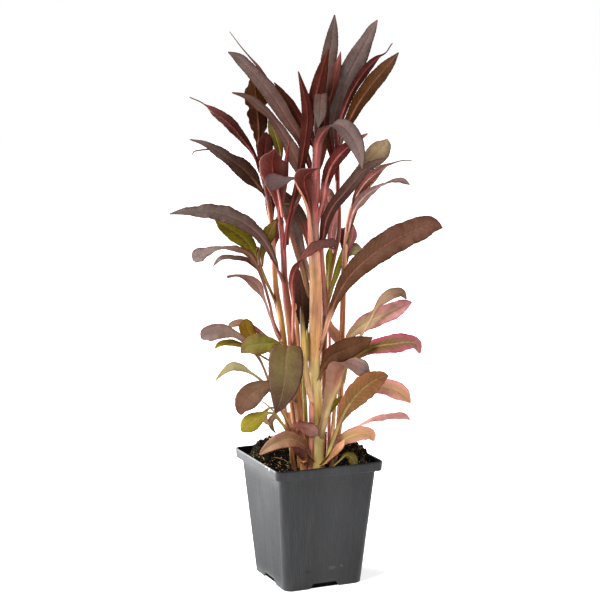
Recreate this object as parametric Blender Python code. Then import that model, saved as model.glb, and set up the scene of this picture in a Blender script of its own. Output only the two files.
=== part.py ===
"""A young cardinal flower plant with bronze leaves, in a square plastic nursery pot.

Run with: blender --background --python part.py
Metres, +Z up. The origin is the middle of the pot's foot, and the pot's sides face X and Y.
"""
import math

import bmesh
import bpy
import numpy as np

MM = 0.001
GAP = 0.3                       # clearance between touching pieces, mm

# The pot, mm
RIM_WIDTH = 91.0                # outer width across the rim
POT_HEIGHT = 100.4
BAND_HEIGHT = 8.2               # the stepped band under the rim
BAND_STEP = 4.0                 # how far the band stands out from the body
BODY_TOP_WIDTH = RIM_WIDTH - 2 * BAND_STEP - 0.6
FOOT_WIDTH = 66.6
WALL = 1.2
FLOOR = 2.0
RIM_CORNER = 4.2                # corner radius at the rim
FOOT_CORNER = 7.0               # corner radius at the foot
CORNER_STEPS = 3
NOTCH_WIDTH = 22.0              # drain notch in the foot of each side
NOTCH_HEIGHT = 3.0
NOTCH_DEPTH = 5.0
FOOT_ROUND = 1.0                # the foot's lower edge is rounded by this much
LEDGE = 0.5                     # the step under the band slopes up by this much
BAND_ROUND = 0.8                # the band's edges
LIP_DROP = 0.3                  # the lip slopes down to the inside by this much
LIP_CORNER = 0.6                # the band's corners are rounder than the body's by this much

# The compost, mm
SOIL_LEVEL = 88.5               # around the stems
SOIL_HEAP = 15.5                # how much higher it lies along the back and the sides
HEAP_FROM = 20.0                # it starts to rise this far from the pot's middle
HEAP_RUN = 16.0                 # and is at its height so much further out
BACK_FROM = -14.0               # the same from front to back
BACK_RUN = 34.0
LEFT_CORNER = -51.5             # the heap leaves the pot's left corner free
LEFT_RUN = 12.0
SOIL_CELLS = 16                 # the surface is modelled as a grid of so many cells a side

# The plant, mm and degrees
PLANT_TURN = -23.4              # the plant's own front is turned from the pot's front
POT_ACROSS = 1.3                # where the pot's middle stands in the plant's front view
EYE_ACROSS = -5.0               # the place from which the plant's points are given
EYE_AWAY = 1285.0
EYE_UP = 419.0
STEM_SIDES = 2                  # bevel resolution
STEM_STEPS = 12
LEAF_STEPS = 10
LEAF_THICKNESS = 0.8
LEAF_FOLD = 16.0                # each half of a blade rises this much from flat
MIN_WIDTH = 0.9                 # of a leaf's tip

COLOURS = {                     # linear red, green, blue
    "bronze": (0.110, 0.062, 0.050),
    "mauve": (0.130, 0.082, 0.078),
    "burgundy": (0.100, 0.022, 0.024),
    "dark": (0.045, 0.024, 0.018),
    "olive": (0.120, 0.085, 0.020),
    "green": (0.190, 0.200, 0.035),
    "tan": (0.330, 0.200, 0.110),
    "pink": (0.430, 0.150, 0.150),
    "orange": (0.480, 0.220, 0.110),
    "peach": (0.520, 0.270, 0.170),
    "rose": (0.350, 0.110, 0.110),
    "yellow_olive": (0.400, 0.270, 0.080),
}

# Every point of the plant is across, up and away from its front view: across and up are read
# on the upright plane through the pot's middle, and the point lies on the line of sight through
# there, so far behind the plane, or in front of it where away is negative.

# Stems: colour, then points from the compost up, each across, up, away, radius
STEMS = {
    "stem_main": ("peach", [
        (8, 74, -8, 5.6), (8.3, 105, -8, 4.8), (8.3, 130, -7, 4.4), (7.4, 150, -6, 4.2),
        (6.4, 172, -6, 4.1), (7, 200, -5, 4.2), (7.5, 225, -5, 4.3), (7.2, 245, -5, 4.1),
        (6, 265, -5, 3.9), (5.6, 285, -5, 3.6), (6, 305, -4, 3.0), (7, 330, -4, 2.4),
        (7.5, 355, -3, 1.9), (8, 375, -3, 1.2)]),
    "stem_left": ("yellow_olive", [
        (-3, 74, 0, 2.6), (-6, 110, 1, 2.6), (-10, 135, 2, 2.6), (-13.5, 160, 3, 2.5),
        (-17, 185, 4, 2.5), (-20, 210, 4, 2.5), (-23.6, 232, 4, 2.3), (-25.2, 252, 4, 2.1),
        (-26.5, 272, 4, 2.1), (-28, 292, 4, 2.0), (-30.5, 308, 4, 1.9), (-34, 322, 4, 1.7),
        (-37, 334, 4, 1.3)]),
    "stem_left_front": ("rose", [
        (-1, 74, -13, 2.8), (-3.5, 110, -12, 2.8), (-6.5, 140, -11, 2.8), (-9, 165, -11, 2.9),
        (-11, 190, -11, 3.1), (-12.8, 207, -11, 3.1), (-15, 222, -11, 2.9), (-17, 240, -10, 2.4),
        (-17.8, 260, -10, 2.2), (-19.5, 280, -9, 2.0), (-21.3, 300, -8, 1.9), (-22.5, 320, -6, 1.6),
        (-22, 336, -5, 1.1)]),
    "stem_right": ("rose", [
        (19, 74, 0, 2.5), (23, 100, 1, 2.5), (26, 122, 3, 2.5), (27.3, 150, 4, 2.4),
        (28, 190, 5, 2.3), (28.8, 220, 5, 2.2), (29.5, 250, 5, 2.0), (31, 272, 5, 1.8),
        (33.5, 290, 4, 1.6), (37, 304, 3, 1.1)]),
    "stem_back": ("rose", [
        (11, 74, 7, 2.5), (13, 120, 8, 2.5), (14.3, 150, 9, 2.4), (13.8, 190, 9, 2.7),
        (15.2, 220, 9, 3.2), (17, 240, 9, 2.9), (21, 258, 9, 2.3), (24.8, 276, 9, 2.0),
        (25.4, 292, 9, 1.9), (24.4, 310, 9, 1.8), (24, 332, 9, 1.6), (22, 352, 9, 1.1)]),
}

# Leaves: the stem, the height where they leave it, a colour, then points from the stem to the
# tip, each across, up, away, width, facing. Facing is where the upper side looks: 0 to the
# front, 90 up, 180 to the back, so that the underside shows.
LEAVES = {
    # the top of the main stem
    "top_leaf": ("stem_main", 362, "mauve", [
        (12, 384, 6, 7, 0), (15.3, 402, 12, 11.5, 0), (18.6, 421, 16, 11.5, 0),
        (20.6, 436, 18, 6.5, 0), (21.5, 445.5, 18, 1, 0)]),
    "top_leaf_red": ("stem_main", 345, "burgundy", [
        (2.6, 364, -7.5, 5, 180), (5.4, 376, -7.2, 10, 175), (8.6, 388, -4, 12, 170),
        (11.6, 401, -1, 9.5, 170), (14.6, 412, 0, 5, 170), (16.7, 419.5, 0, 1, 170)]),
    "top_leaf_dark": ("stem_left_front", 262, "burgundy", [
        (-14.6, 285, -14, 3, 180), (-11.8, 298, -14, 3.6, 180), (-8.5, 311, -11.5, 4, 180),
        (-4.5, 328, -9.5, 5.5, 180), (-0.8, 350, -11, 9, 180), (1.0, 370, -12, 9.5, 180),
        (-1.4, 384, -12, 6.5, 180), (-4, 394, -11, 3.5, 180), (-6.3, 402.5, -10, 1, 180)]),
    "small_grey_leaf": ("stem_main", 369, "mauve", [
        (13.5, 378.5, -10, 5, 170), (11.6, 385, -16.5, 9, 95), (11, 380, -22, 10, 25),
        (10.5, 370, -23, 9.5, 5), (9, 359.5, -22, 1, 0)]),
    "left_leaf_grey": ("stem_main", 320, "mauve", [
        (0, 338, 1, 5, 0), (-6, 353, 4, 8, 0), (-14, 365, 6, 10.5, 5), (-23.5, 380, 8, 13, 10),
        (-34, 393.5, 8, 12, 12), (-44, 404.5, 7, 10, 15), (-53, 413, 6, 7.5, 20),
        (-60.3, 417.3, 5, 1, 20)]),
    "left_leaf_narrow": ("stem_main", 343, "pink", [
        (-2.5, 356, 9, 4, 50), (-13.5, 370, 13, 6, 60), (-27, 389, 15, 7, 65),
        (-37, 405.5, 15, 8, 60), (-43.5, 413, 15, 5, 60), (-51, 422, 14, 3, 60),
        (-59, 432.8, 13, 1, 60)]),
    "left_leaf_olive": ("stem_left", 331, "olive", [
        (-37, 345, 8, 4.5, 180), (-36.6, 356, 11, 11, 180), (-37.8, 370, 13, 16.5, 180),
        (-38.8, 383, 15, 18, 176), (-39.8, 391, 16, 15.5, 172), (-41, 395.5, 17, 10, 170),
        (-42, 398, 17.3, 1.5, 170)]),
    "crossing_leaf": ("stem_main", 308, "mauve", [
        (-2.5, 322, -4, 7, 10), (-8.5, 336, -3, 12, 12), (-15.5, 350, -2, 9, 30),
        (-22.5, 361, -1, 7.5, 45), (-30, 370, 0, 7.5, 52), (-38, 377.5, 0, 8.5, 35),
        (-46, 383, 0, 5, 20), (-57.5, 386.3, 0, 1, 20)]),
    "left_leaf_green": ("stem_left_front", 328, "green", [
        (-20.4, 339, -2, 4.5, 0), (-21.8, 346, 1, 8, 0), (-24.3, 354, 3.5, 9.5, 0),
        (-26.8, 361, 5, 6.5, 0), (-29, 367.5, 5.5, 1, 0)]),
    "left_leaf_red": ("stem_left", 325, "burgundy", [
        (-42, 341, 2, 4, 150), (-48.6, 350, 1.5, 7, 150), (-57, 360, 1, 10, 150),
        (-65.5, 367.8, 0, 9.5, 150), (-74, 373.5, -1, 6.5, 130), (-80, 378.3, -1, 1.6, 90),
        (-90, 382.8, -1, 0.9, 90)]),
    "left_leaf_wide": ("stem_left", 306, "mauve", [
        (-37, 313.5, 6.5, 5, 10), (-42.3, 320, 5, 12, 15), (-50, 328, 2, 14.5, 20),
        (-60, 335, 0, 10.5, 30), (-69, 341.3, -1, 9, 35), (-79, 346.8, -1, 5, 40),
        (-90.3, 350.2, -1, 1, 40)]),
    "folded_leaf_left": ("stem_left_front", 284, "burgundy", [
        (-21.3, 297, -13, 4.5, 180), (-22.4, 308, -15, 10.5, 180), (-24.6, 318, -16, 16, 178),
        (-26.2, 328, -16, 20.5, 170), (-26.3, 334.5, -15.5, 18.5, 160),
        (-25.2, 339.5, -15, 8, 155), (-24.8, 343, -15, 1, 150)]),
    "folded_leaf_middle": ("stem_main", 262, "burgundy", [
        (3.5, 278, -12.5, 3.6, 180), (3.3, 289, -14.5, 4, 180), (2.3, 299, -16.5, 5.5, 180),
        (0.6, 307.5, -18, 9, 178), (-1.4, 314.5, -19, 13, 172), (-1.2, 321.5, -19, 15.5, 160),
        (3.6, 325.8, -19.5, 7, 130), (10.3, 328.4, -21, 1, 110)]),
    "grey_tongue_leaf": ("stem_main", 297, "mauve", [
        (-1.5, 311, -9.5, 2.4, 20), (-6, 319.3, -12.3, 2, 20), (-11.5, 320, -15.8, 2.8, 20),
        (-18, 318.3, -20, 8, 15), (-25, 317.5, -22, 14, 15), (-30, 316.5, -22, 11, 15),
        (-31.8, 316, -22, 4, 15)]),
    "arching_leaf": ("stem_main", 294, "mauve", [
        (8, 312, -11, 5.2, 180), (8.2, 335, -13, 5.8, 180), (9.8, 350, -14, 7.5, 165),
        (15.3, 359, -16, 10, 105), (23, 362.3, -20, 13, 55), (30.3, 358.5, -23, 14.5, 30),
        (36.5, 350.5, -25, 13.5, 15), (41, 340, -26, 9, 5), (43.3, 327.5, -25, 1, 0)]),
    # the tip of the stem behind
    "right_leaf_grey": ("stem_back", 346, "mauve", [
        (21, 364, 12, 9, 0), (25, 380, 13, 13, 0), (31, 397, 13, 16, 0),
        (38.8, 412, 12, 16, 5), (46.5, 427, 10, 10, 10), (51.5, 437, 8, 5.5, 10),
        (54.3, 441.5, 7, 1, 0)]),
    "right_leaf_twisted": ("stem_back", 344, "burgundy", [
        (25.5, 362, 6, 4, 180), (29.4, 374, 6, 5.5, 172), (34.6, 386.5, 5, 6.5, 165),
        (41.6, 398, 4, 7.5, 160), (48.6, 407, 3, 7, 155), (54.5, 412.8, 0, 4.5, 130),
        (60, 416, -1, 2.5, 100), (66, 424, -1, 0.9, 60)]),
    "right_leaf_olive": ("stem_back", 336, "olive", [
        (28.5, 355, 4, 5, 180), (34, 366.5, 1, 8, 170), (40.3, 378.5, -2, 11, 165),
        (48, 389.5, -4, 13, 162), (56, 399.5, -5, 12.5, 162), (63.3, 407.7, -6, 9, 165),
        (70.8, 416.8, -7, 1, 165)]),
    "right_leaf_mauve": ("stem_main", 284, "burgundy", [
        (12.8, 302, -6, 4.2, 160), (15.4, 318, -6.6, 7.6, 165), (20.2, 331, -6, 10.5, 160),
        (27.3, 340, -6, 10.5, 160), (35, 347, -5, 7, 160), (42, 351.5, -5, 4, 160),
        (47.3, 354.7, -5, 1, 160)]),
    "right_leaf_tan": ("stem_back", 305, "tan", [
        (30, 314, 12, 4, 0), (38, 322, 13, 7, 0), (46, 330, 13, 11, 0), (53, 337.5, 12, 16.5, 5),
        (58.5, 343.5, 11, 15.5, 8), (61.5, 348, 10, 8.5, 10), (62.3, 350.8, 9.5, 1, 10)]),
    "right_leaf_dark": ("stem_main", 260, "dark", [
        (13, 274, -9, 5, 160), (15.8, 288, -10, 8, 165), (21.3, 299, -11, 9, 165),
        (28.8, 308, -12, 10, 165), (36.8, 317.5, -13, 10, 165), (44.5, 326.2, -14, 8.5, 160),
        (52, 331.8, -14, 6, 140), (62, 335.8, -14, 1, 120)]),
    "right_leaf_long": ("stem_right", 296, "burgundy", [
        (39.5, 307, 1, 6, 160), (45.5, 316.3, -1, 8.5, 160), (52.5, 323.3, -2, 8.5, 150),
        (59.5, 328.5, -3, 6, 130), (66.5, 331.7, -4, 3, 110), (74, 334, -4, 1.6, 100),
        (81.8, 334.3, -4, 0.9, 100)]),
    "right_leaf_curled": ("stem_right", 278, "pink", [
        (37, 295, -2, 5, 160), (42.5, 303.3, -5, 9, 155), (49, 309.3, -7, 8, 145),
        (57, 314, -8, 7, 110), (65, 317.3, -8, 7, 85), (73.5, 318.3, -8, 7.5, 55),
        (80.3, 315.3, -8, 1, 40)]),
    # the middle of the plant
    "long_leaf_left": ("stem_left_front", 238, "bronze", [
        (-25, 256, -20, 4.5, 50), (-33.5, 271.5, -22, 8.5, 40), (-43, 281.5, -22, 11.5, 35),
        (-56, 289, -21, 14, 35), (-72, 293.7, -19, 14, 35), (-86, 294.3, -17, 9.5, 35),
        (-98, 293.8, -15, 5, 35), (-106.5, 292.3, -14, 1, 35)]),
    "green_leaf_left": ("stem_left", 222, "green", [
        (-31, 238, 0, 2.6, 30), (-36.3, 250, -2, 3.6, 30), (-41.2, 262, -4, 7.5, 30),
        (-47.5, 271.3, -5, 13, 28), (-57, 278.7, -5, 15, 28), (-65.5, 284, -5, 10, 28),
        (-71.3, 288, -5, 1, 28)]),
    "spoon_leaf_left": ("stem_left", 194, "mauve", [
        (-24.5, 204, 1, 2.2, 30), (-29, 222, -2, 2.2, 40), (-33.6, 238, -5, 2.5, 50),
        (-39.5, 252, -9, 4, 55), (-46.5, 261.3, -11, 8, 60), (-56, 264.8, -12, 8, 66),
        (-68, 265.2, -13, 6, 68), (-78, 262.5, -13, 9, 45), (-85, 258.8, -13, 11.5, 30),
        (-87.8, 255, -13, 3, 30)]),
    "small_leaf_left": ("stem_left", 188, "burgundy", [
        (-23.5, 197, -5, 2, 20), (-29, 213, -8, 2, 20), (-34, 227, -11, 3, 20),
        (-39.5, 236.5, -12, 9, 30), (-46.5, 241.3, -12, 7, 50), (-54, 243.6, -12, 3.5, 60),
        (-62.3, 242.5, -12, 3, 50)]),
    "olive_leaf_left": ("stem_left_front", 290, "olive", [
        (-25.2, 285, -9, 4.4, 5), (-28.3, 279, -10, 10.5, 5), (-31.5, 271, -10, 8.5, 5),
        (-34.3, 261.5, -9, 4, 5), (-34.3, 251, -8, 1, 5)]),
    "front_leaf_crossing": ("stem_left_front", 190, "bronze", [
        (-10.6, 204, -17, 3, 180), (-10.3, 224, -17.5, 3, 180), (-11, 240, -18, 6, 165),
        (-7.5, 251, -19, 7, 120), (-0.5, 260, -19, 8, 60), (7.5, 266.3, -18.5, 10, 48),
        (15.5, 268.8, -18, 9.5, 45), (22, 269.3, -17, 7, 40), (25.3, 268.6, -17, 1, 40)]),
    "big_leaf_right": ("stem_main", 180, "bronze", [
        (14.5, 198, -9, 3.8, 60), (18.5, 212, -11, 5, 40), (24, 226.5, -13, 7.5, 30),
        (33, 242, -14, 13.5, 25), (46, 255.5, -15, 18, 25), (61, 267, -16, 21.5, 28),
        (76, 275.5, -16, 21.5, 28), (88, 280.5, -16, 19.5, 28), (98, 283.5, -16, 15, 28),
        (106.3, 281.5, -16, 1, 28)]),
    "dark_leaf_middle": ("stem_main", 236, "dark", [
        (-1.8, 256, 2, 5, 0), (-5.6, 270, 4, 7.5, 5), (-9.6, 284, 5, 10.5, 5),
        (-14, 296, 5, 10, 5), (-18.5, 306, 5, 6, 5), (-23, 315, 5, 1, 5)]),
    "dark_leaf_low": ("stem_main", 184, "dark", [
        (0, 198, 2, 4, 0), (-2.5, 212, 3, 10, 0), (-3.6, 228, 4, 12, 0), (-5.5, 242, 4, 7, 0),
        (-7.5, 251, 4, 1, 0)]),
    # the low leaves
    "low_leaf_round": ("stem_left", 112, "mauve", [
        (-18, 133, -2, 2.2, 30), (-29.5, 159, -6, 2.2, 30), (-37.5, 178, -10, 2.5, 30),
        (-47, 190.5, -11, 5, 30), (-57, 197.3, -11, 6.5, 30), (-65.5, 199.3, -11, 12, 30),
        (-74, 198.3, -11, 14, 30), (-80, 196, -11, 10, 30), (-82.4, 193.3, -11, 2.5, 30)]),
    "low_leaf_green": ("stem_left", 186, "green", [
        (-24, 190.3, -3, 4, 15), (-30.5, 190, -9, 13, 18), (-38.5, 189, -14, 17, 18),
        (-46.5, 186.8, -16, 12.5, 18), (-51.7, 182, -17, 1, 18)]),
    "low_leaf_ochre": ("stem_left", 176, "olive", [
        (-27, 182, 3, 2.5, 10), (-36, 190, 3, 4, 10), (-43, 196, 2, 9, 10),
        (-46.8, 201.5, 1, 12.5, 10), (-47.3, 206.5, 0, 9.5, 10), (-47.5, 209.5, 0, 2.5, 10)]),
    "low_leaf_pale": ("stem_left_front", 104, "green", [
        (-14, 126, -18, 1.9, 20), (-26, 148, -20, 1.9, 20), (-36.5, 160.8, -20, 2.2, 25),
        (-45.5, 167, -20, 3, 30), (-52, 170.3, -20, 6.5, 30), (-58, 171.3, -20, 7.5, 30),
        (-65, 167.2, -20, 4.5, 30), (-72, 160, -20, 1, 30)]),
    "low_leaf_left": ("stem_left_front", 142, "bronze", [
        (-16.5, 151, -22, 3.5, 40), (-26.5, 156, -26, 6.5, 25), (-36, 153.5, -29, 13.5, 20),
        (-43.5, 148.5, -31, 18, 15), (-49.3, 141.5, -33, 16, 10), (-51.6, 136, -34, 8.5, 5),
        (-51.8, 132.3, -34, 2, 5)]),
    "hanging_leaf": ("stem_left_front", 181, "olive", [
        (-12.5, 187.3, -21, 11, 92), (-14.3, 187, -27, 21, 80), (-15.7, 180, -33, 26, 40),
        (-16.5, 166, -36, 26.5, 18), (-19, 150, -37, 19.5, 10), (-22, 139.5, -37, 9.5, 5),
        (-24.3, 133.5, -37, 1.5, 5)]),
    "low_leaf_yellow": ("stem_left_front", 98, "green", [
        (-12, 111, -17, 1.9, 20), (-18, 123, -20, 1.9, 20), (-25.5, 133, -24, 1.9, 20),
        (-31.5, 133.3, -28, 3, 15), (-37, 130.3, -29, 9.5, 12), (-43, 126.5, -30, 14, 12),
        (-48.5, 122, -30, 10.5, 12), (-51.6, 118.8, -30, 2, 12)]),
    "orange_leaf_front": ("stem_main", 92, "orange", [
        (1, 103, -18, 4, 40), (-4.8, 109.5, -22, 9, 35), (-13, 112.5, -25, 14, 28),
        (-22, 110.3, -26, 12, 28), (-30.5, 105.6, -25, 8, 28), (-37, 99.8, -23, 1.5, 28)]),
    "low_leaf_dark": ("stem_main", 158, "dark", [
        (13.8, 171, -10, 7, 60), (19.5, 179.3, -11, 13.5, 30), (29, 184, -12, 17, 22),
        (39, 188.3, -13, 14.5, 22), (46.5, 191.5, -14, 9, 22), (52.3, 194.6, -14, 1, 22)]),
    "low_leaf_pink_edge": ("stem_right", 158, "tan", [
        (34.5, 175, 2, 3, 35), (41.5, 180.5, -2, 6, 32), (50, 185.5, -7, 10, 30),
        (60, 188.3, -9, 14, 30), (70, 189.5, -10, 16, 30), (79, 190.8, -11, 14, 30),
        (86.3, 189.5, -12, 9.5, 30), (89.8, 181.8, -12, 1.5, 30)]),
    "low_leaf_pink": ("stem_right", 184, "pink", [
        (36, 198, 2, 7, 25), (43.5, 204, 0, 12, 25), (53, 209.3, -2, 14.5, 25),
        (63, 213.5, -4, 14.5, 25), (72.5, 218, -6, 12.5, 25), (79, 221.5, -7, 7, 25),
        (83, 222.8, -7, 1, 25)]),
    "low_leaf_brown_curl": ("stem_right", 179, "olive", [
        (37.5, 188.5, -2, 2.2, 30), (44.3, 198, -6, 2.2, 30), (51, 210, -9, 2.5, 30),
        (55.5, 219, -11, 3.8, 30), (61, 225.5, -12, 8, 30), (68, 229.5, -12, 9, 30),
        (74.5, 230.3, -12, 7, 30), (78.6, 225.2, -12, 1, 30)]),
    "folded_leaf_low": ("stem_main", 112, "tan", [
        (13.8, 126, -16, 6.5, 180), (17, 142, -17, 8, 180), (21.5, 157, -19, 13.5, 178),
        (25, 169.5, -21, 16, 155), (30, 174.8, -25, 13, 90), (38, 172.8, -28, 13, 40),
        (45, 169, -30, 12.5, 20), (49.5, 165.5, -30, 3, 15)]),
    "low_leaf_olive_right": ("stem_main", 90, "olive", [
        (17.5, 101, -17, 3.6, 60), (22, 113, -20, 3.6, 40), (27.5, 128, -23, 5, 20),
        (33.7, 140, -27, 13, 15), (41, 149.5, -31, 19, 15), (48.5, 156.3, -34, 19.5, 15),
        (56.5, 161.3, -36, 13.5, 15), (61.8, 163.3, -37, 7.5, 15), (65, 163.7, -37, 1, 15)]),
    "low_leaf_tan": ("stem_right", 128, "tan", [
        (34, 140.5, 1, 3.8, 35), (43, 149.3, -1, 6.5, 30), (53, 154.3, -3, 10, 30),
        (62, 154.8, -5, 13.5, 30), (71, 152, -7, 15, 30), (78, 147.5, -8, 10.5, 30),
        (82.8, 141.8, -8, 1, 30)]),
    "low_leaf_thin_pink": ("stem_right", 102, "pink", [
        (34, 119, -4, 2.2, 50), (43.5, 124, -7, 2.4, 50), (53, 128.2, -9, 6, 62),
        (62, 130, -10, 8.5, 66), (71, 131.2, -11, 8.5, 62), (78.5, 130.6, -12, 6, 55),
        (82.6, 128, -12, 1, 50)]),
    "orange_leaf_right": ("stem_right", 92, "orange", [
        (24, 104, -14, 4, 30), (30.5, 112.5, -19, 9.5, 25), (38, 115.8, -21, 12, 25),
        (45.5, 117.3, -23, 11, 25), (51.3, 115.5, -24, 9, 25), (53.8, 111, -24, 1.5, 25)]),
    # the far side, which the front view hides
    "back_leaf_tall": ("stem_main", 330, "burgundy", [
        (10, 350, 14, 8, 0), (13, 368, 24, 12, 0), (14, 384, 33, 11, 0), (13, 396, 40, 1, 0)]),
    "back_leaf_left": ("stem_left", 286, "bronze", [
        (-28, 300, 16, 8, 0), (-25, 316, 30, 14, 0), (-21, 328, 44, 13, 20),
        (-18, 334, 58, 1, 50)]),
    "back_leaf_right": ("stem_back", 272, "bronze", [
        (22, 288, 22, 8, 0), (17, 302, 36, 14, 0), (12, 310, 50, 13, 30), (8, 311, 66, 1, 60)]),
    "back_leaf_low": ("stem_back", 150, "olive", [
        (12, 166, 22, 8, 0), (9, 182, 36, 14, 10), (7, 190, 50, 13, 50), (4, 188, 64, 1, 80)]),
}


def clear_scene():
    for thing in list(bpy.data.objects):
        bpy.data.objects.remove(thing, do_unlink=True)


def material(name, colour, roughness):
    made = bpy.data.materials.get(name)
    if made is None:
        made = bpy.data.materials.new(name)
        made.use_nodes = True
        shader = made.node_tree.nodes["Principled BSDF"]
        shader.inputs["Base Color"].default_value = (*colour, 1.0)
        shader.inputs["Roughness"].default_value = roughness
        shader.inputs["Metallic"].default_value = 0.0
    return made


def add_object(name, mesh, finish):
    thing = bpy.data.objects.new(name, mesh)
    bpy.context.scene.collection.objects.link(thing)
    thing.data.materials.append(finish)
    return thing


def cut(solid, name, mesh):
    """Take a mesh out of a solid, with a cutter that stays out of the build."""
    cutter = add_object(f"{name}_cutter", mesh, solid.data.materials[0])
    cutter.hide_render = True
    cutter.display_type = "WIRE"
    taken = solid.modifiers.new(name, "BOOLEAN")
    taken.object = cutter
    taken.operation = "DIFFERENCE"
    taken.solver = "EXACT"
    return cutter


def mesh_from(name, bm):
    bmesh.ops.recalc_face_normals(bm, faces=bm.faces)
    mesh = bpy.data.meshes.new(name)
    bm.to_mesh(mesh)
    bm.free()
    return mesh


# Places

def seen(across, up, away):
    """The true place, in the plant's own frame, of a point read in the front view."""
    nearer = 1 + away / EYE_AWAY
    return np.array([EYE_ACROSS + (across - EYE_ACROSS) * nearer, away, EYE_UP + (up - EYE_UP) * nearer])


def in_pot(point):
    """From the plant's own frame in mm to the pot's frame in metres."""
    turn = math.radians(PLANT_TURN)
    across = point[0] - POT_ACROSS
    x = across * math.cos(turn) - point[1] * math.sin(turn)
    y = across * math.sin(turn) + point[1] * math.cos(turn)
    return (x * MM, y * MM, point[2] * MM)


def smooth_path(rows, count):
    """Evenly spaced samples of the smooth curve through the rows, whose first three columns are places."""
    rows = np.array(rows, float)
    reach = np.concatenate([[0], np.cumsum(np.linalg.norm(np.diff(rows[:, :3], axis=0), axis=1))])
    slopes = np.gradient(rows, reach, axis=0)
    at = np.linspace(0, reach[-1], count)
    cell = np.clip(np.searchsorted(reach, at, side="right") - 1, 0, len(reach) - 2)
    span = (reach[cell + 1] - reach[cell])[:, None]
    f = (at - reach[cell])[:, None] / span
    return ((2 * f ** 3 - 3 * f ** 2 + 1) * rows[cell] + (f ** 3 - 2 * f ** 2 + f) * span * slopes[cell]
            + (3 * f ** 2 - 2 * f ** 3) * rows[cell + 1] + (f ** 3 - f ** 2) * span * slopes[cell + 1])


def stem_at(stem, up):
    """A stem's centre and radius where the front view shows it at this height."""
    rows = STEMS[stem][1]
    heights = [row[1] for row in rows]
    across, away, radius = (np.interp(up, heights, [row[k] for row in rows]) for k in (0, 2, 3))
    return seen(across, up, away), radius


# The pot

def square_loop(bm, half, z, radius):
    """A square with round corners at this height."""
    ring = []
    for corner in range(4):
        middle = math.pi / 4 + corner * math.pi / 2
        cx = (half - radius) * math.copysign(1, math.cos(middle))
        cy = (half - radius) * math.copysign(1, math.sin(middle))
        for step in range(CORNER_STEPS + 1):
            angle = corner * math.pi / 2 + step * math.pi / 2 / CORNER_STEPS
            ring.append(bm.verts.new(((cx + radius * math.cos(angle)) * MM,
                                      (cy + radius * math.sin(angle)) * MM, z * MM)))
    return ring


def loft(bm, loops):
    """Rings joined in order, with both ends closed."""
    rings = [square_loop(bm, *loop) for loop in loops]
    for low, high in zip(rings, rings[1:]):
        count = len(low)
        for k in range(count):
            bm.faces.new((low[k], low[(k + 1) % count], high[(k + 1) % count], high[k]))
    bm.faces.new(reversed(rings[0]))
    bm.faces.new(rings[-1])


def body_half(z):
    """Half the pot body's outer width at a height."""
    top = POT_HEIGHT - BAND_HEIGHT
    return (FOOT_WIDTH + (BODY_TOP_WIDTH - FOOT_WIDTH) * z / top) / 2


def corner_at(z):
    return FOOT_CORNER + (RIM_CORNER - FOOT_CORNER) * z / POT_HEIGHT


def make_pot():
    rim = RIM_WIDTH / 2
    top = POT_HEIGHT - BAND_HEIGHT
    shoulder = top + LEDGE
    band_corner = RIM_CORNER + LIP_CORNER
    inner_corner = RIM_CORNER - LIP_CORNER
    bm = bmesh.new()
    loft(bm, [
        (body_half(0) - FOOT_ROUND, 0, corner_at(0) - FOOT_ROUND),
        (body_half(FOOT_ROUND), FOOT_ROUND, corner_at(0)),
        (body_half(top), top, corner_at(top)),
        (rim - BAND_ROUND, shoulder, band_corner),
        (rim - BAND_ROUND / 3, shoulder + BAND_ROUND, band_corner),
        (rim, POT_HEIGHT - BAND_ROUND, band_corner),
        (rim - BAND_ROUND / 2, POT_HEIGHT, RIM_CORNER),
        (rim - WALL, POT_HEIGHT - LIP_DROP, inner_corner),
        (rim - WALL - GAP, shoulder + WALL, inner_corner),
        (body_half(top) - WALL, shoulder + WALL - LEDGE, corner_at(top) - WALL),
        (body_half(FLOOR) - WALL, FLOOR, corner_at(0) - WALL),
    ])
    pot = add_object("pot", mesh_from("pot", bm), material("pot plastic", (0.035, 0.036, 0.038), 0.45))
    for side in range(4):
        bm = bmesh.new()
        bmesh.ops.create_cube(bm, size=1.0)
        bmesh.ops.scale(bm, verts=bm.verts,
                        vec=(NOTCH_WIDTH * MM, 2 * NOTCH_DEPTH * MM, 2 * NOTCH_HEIGHT * MM))
        notch = cut(pot, f"notch_{side}", mesh_from("notch", bm))
        angle = side * math.pi / 2
        reach = FOOT_WIDTH / 2 * MM
        notch.location = (reach * math.sin(angle), -reach * math.cos(angle), 0)
        notch.rotation_euler = (0, 0, angle)
    pot.data.shade_smooth()
    pot.data.set_sharp_from_angle(angle=math.radians(30))


# The compost

def soil_height(x, y):
    """The compost's level at a place in the pot, mm: low at the front, heaped at the back and the sides."""
    turn = math.radians(PLANT_TURN)
    across = x * math.cos(turn) + y * math.sin(turn)
    away = -x * math.sin(turn) + y * math.cos(turn)
    edge = min(max((max(abs(x), abs(y)) - HEAP_FROM) / HEAP_RUN, 0), 1)
    behind = min(max((away - BACK_FROM + 0.3 * abs(across)) / BACK_RUN, 0), 1)
    left = min(max((across - LEFT_CORNER) / LEFT_RUN, 0), 1)
    lumps = 0.6 * math.sin(0.42 * x + 1.3) * math.cos(0.37 * y) + 0.4 * math.sin(0.8 * y + 0.5 * x)
    return SOIL_LEVEL - 1.5 * edge + SOIL_HEAP * edge * edge * (3 - 2 * edge) * behind * left + lumps


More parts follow.
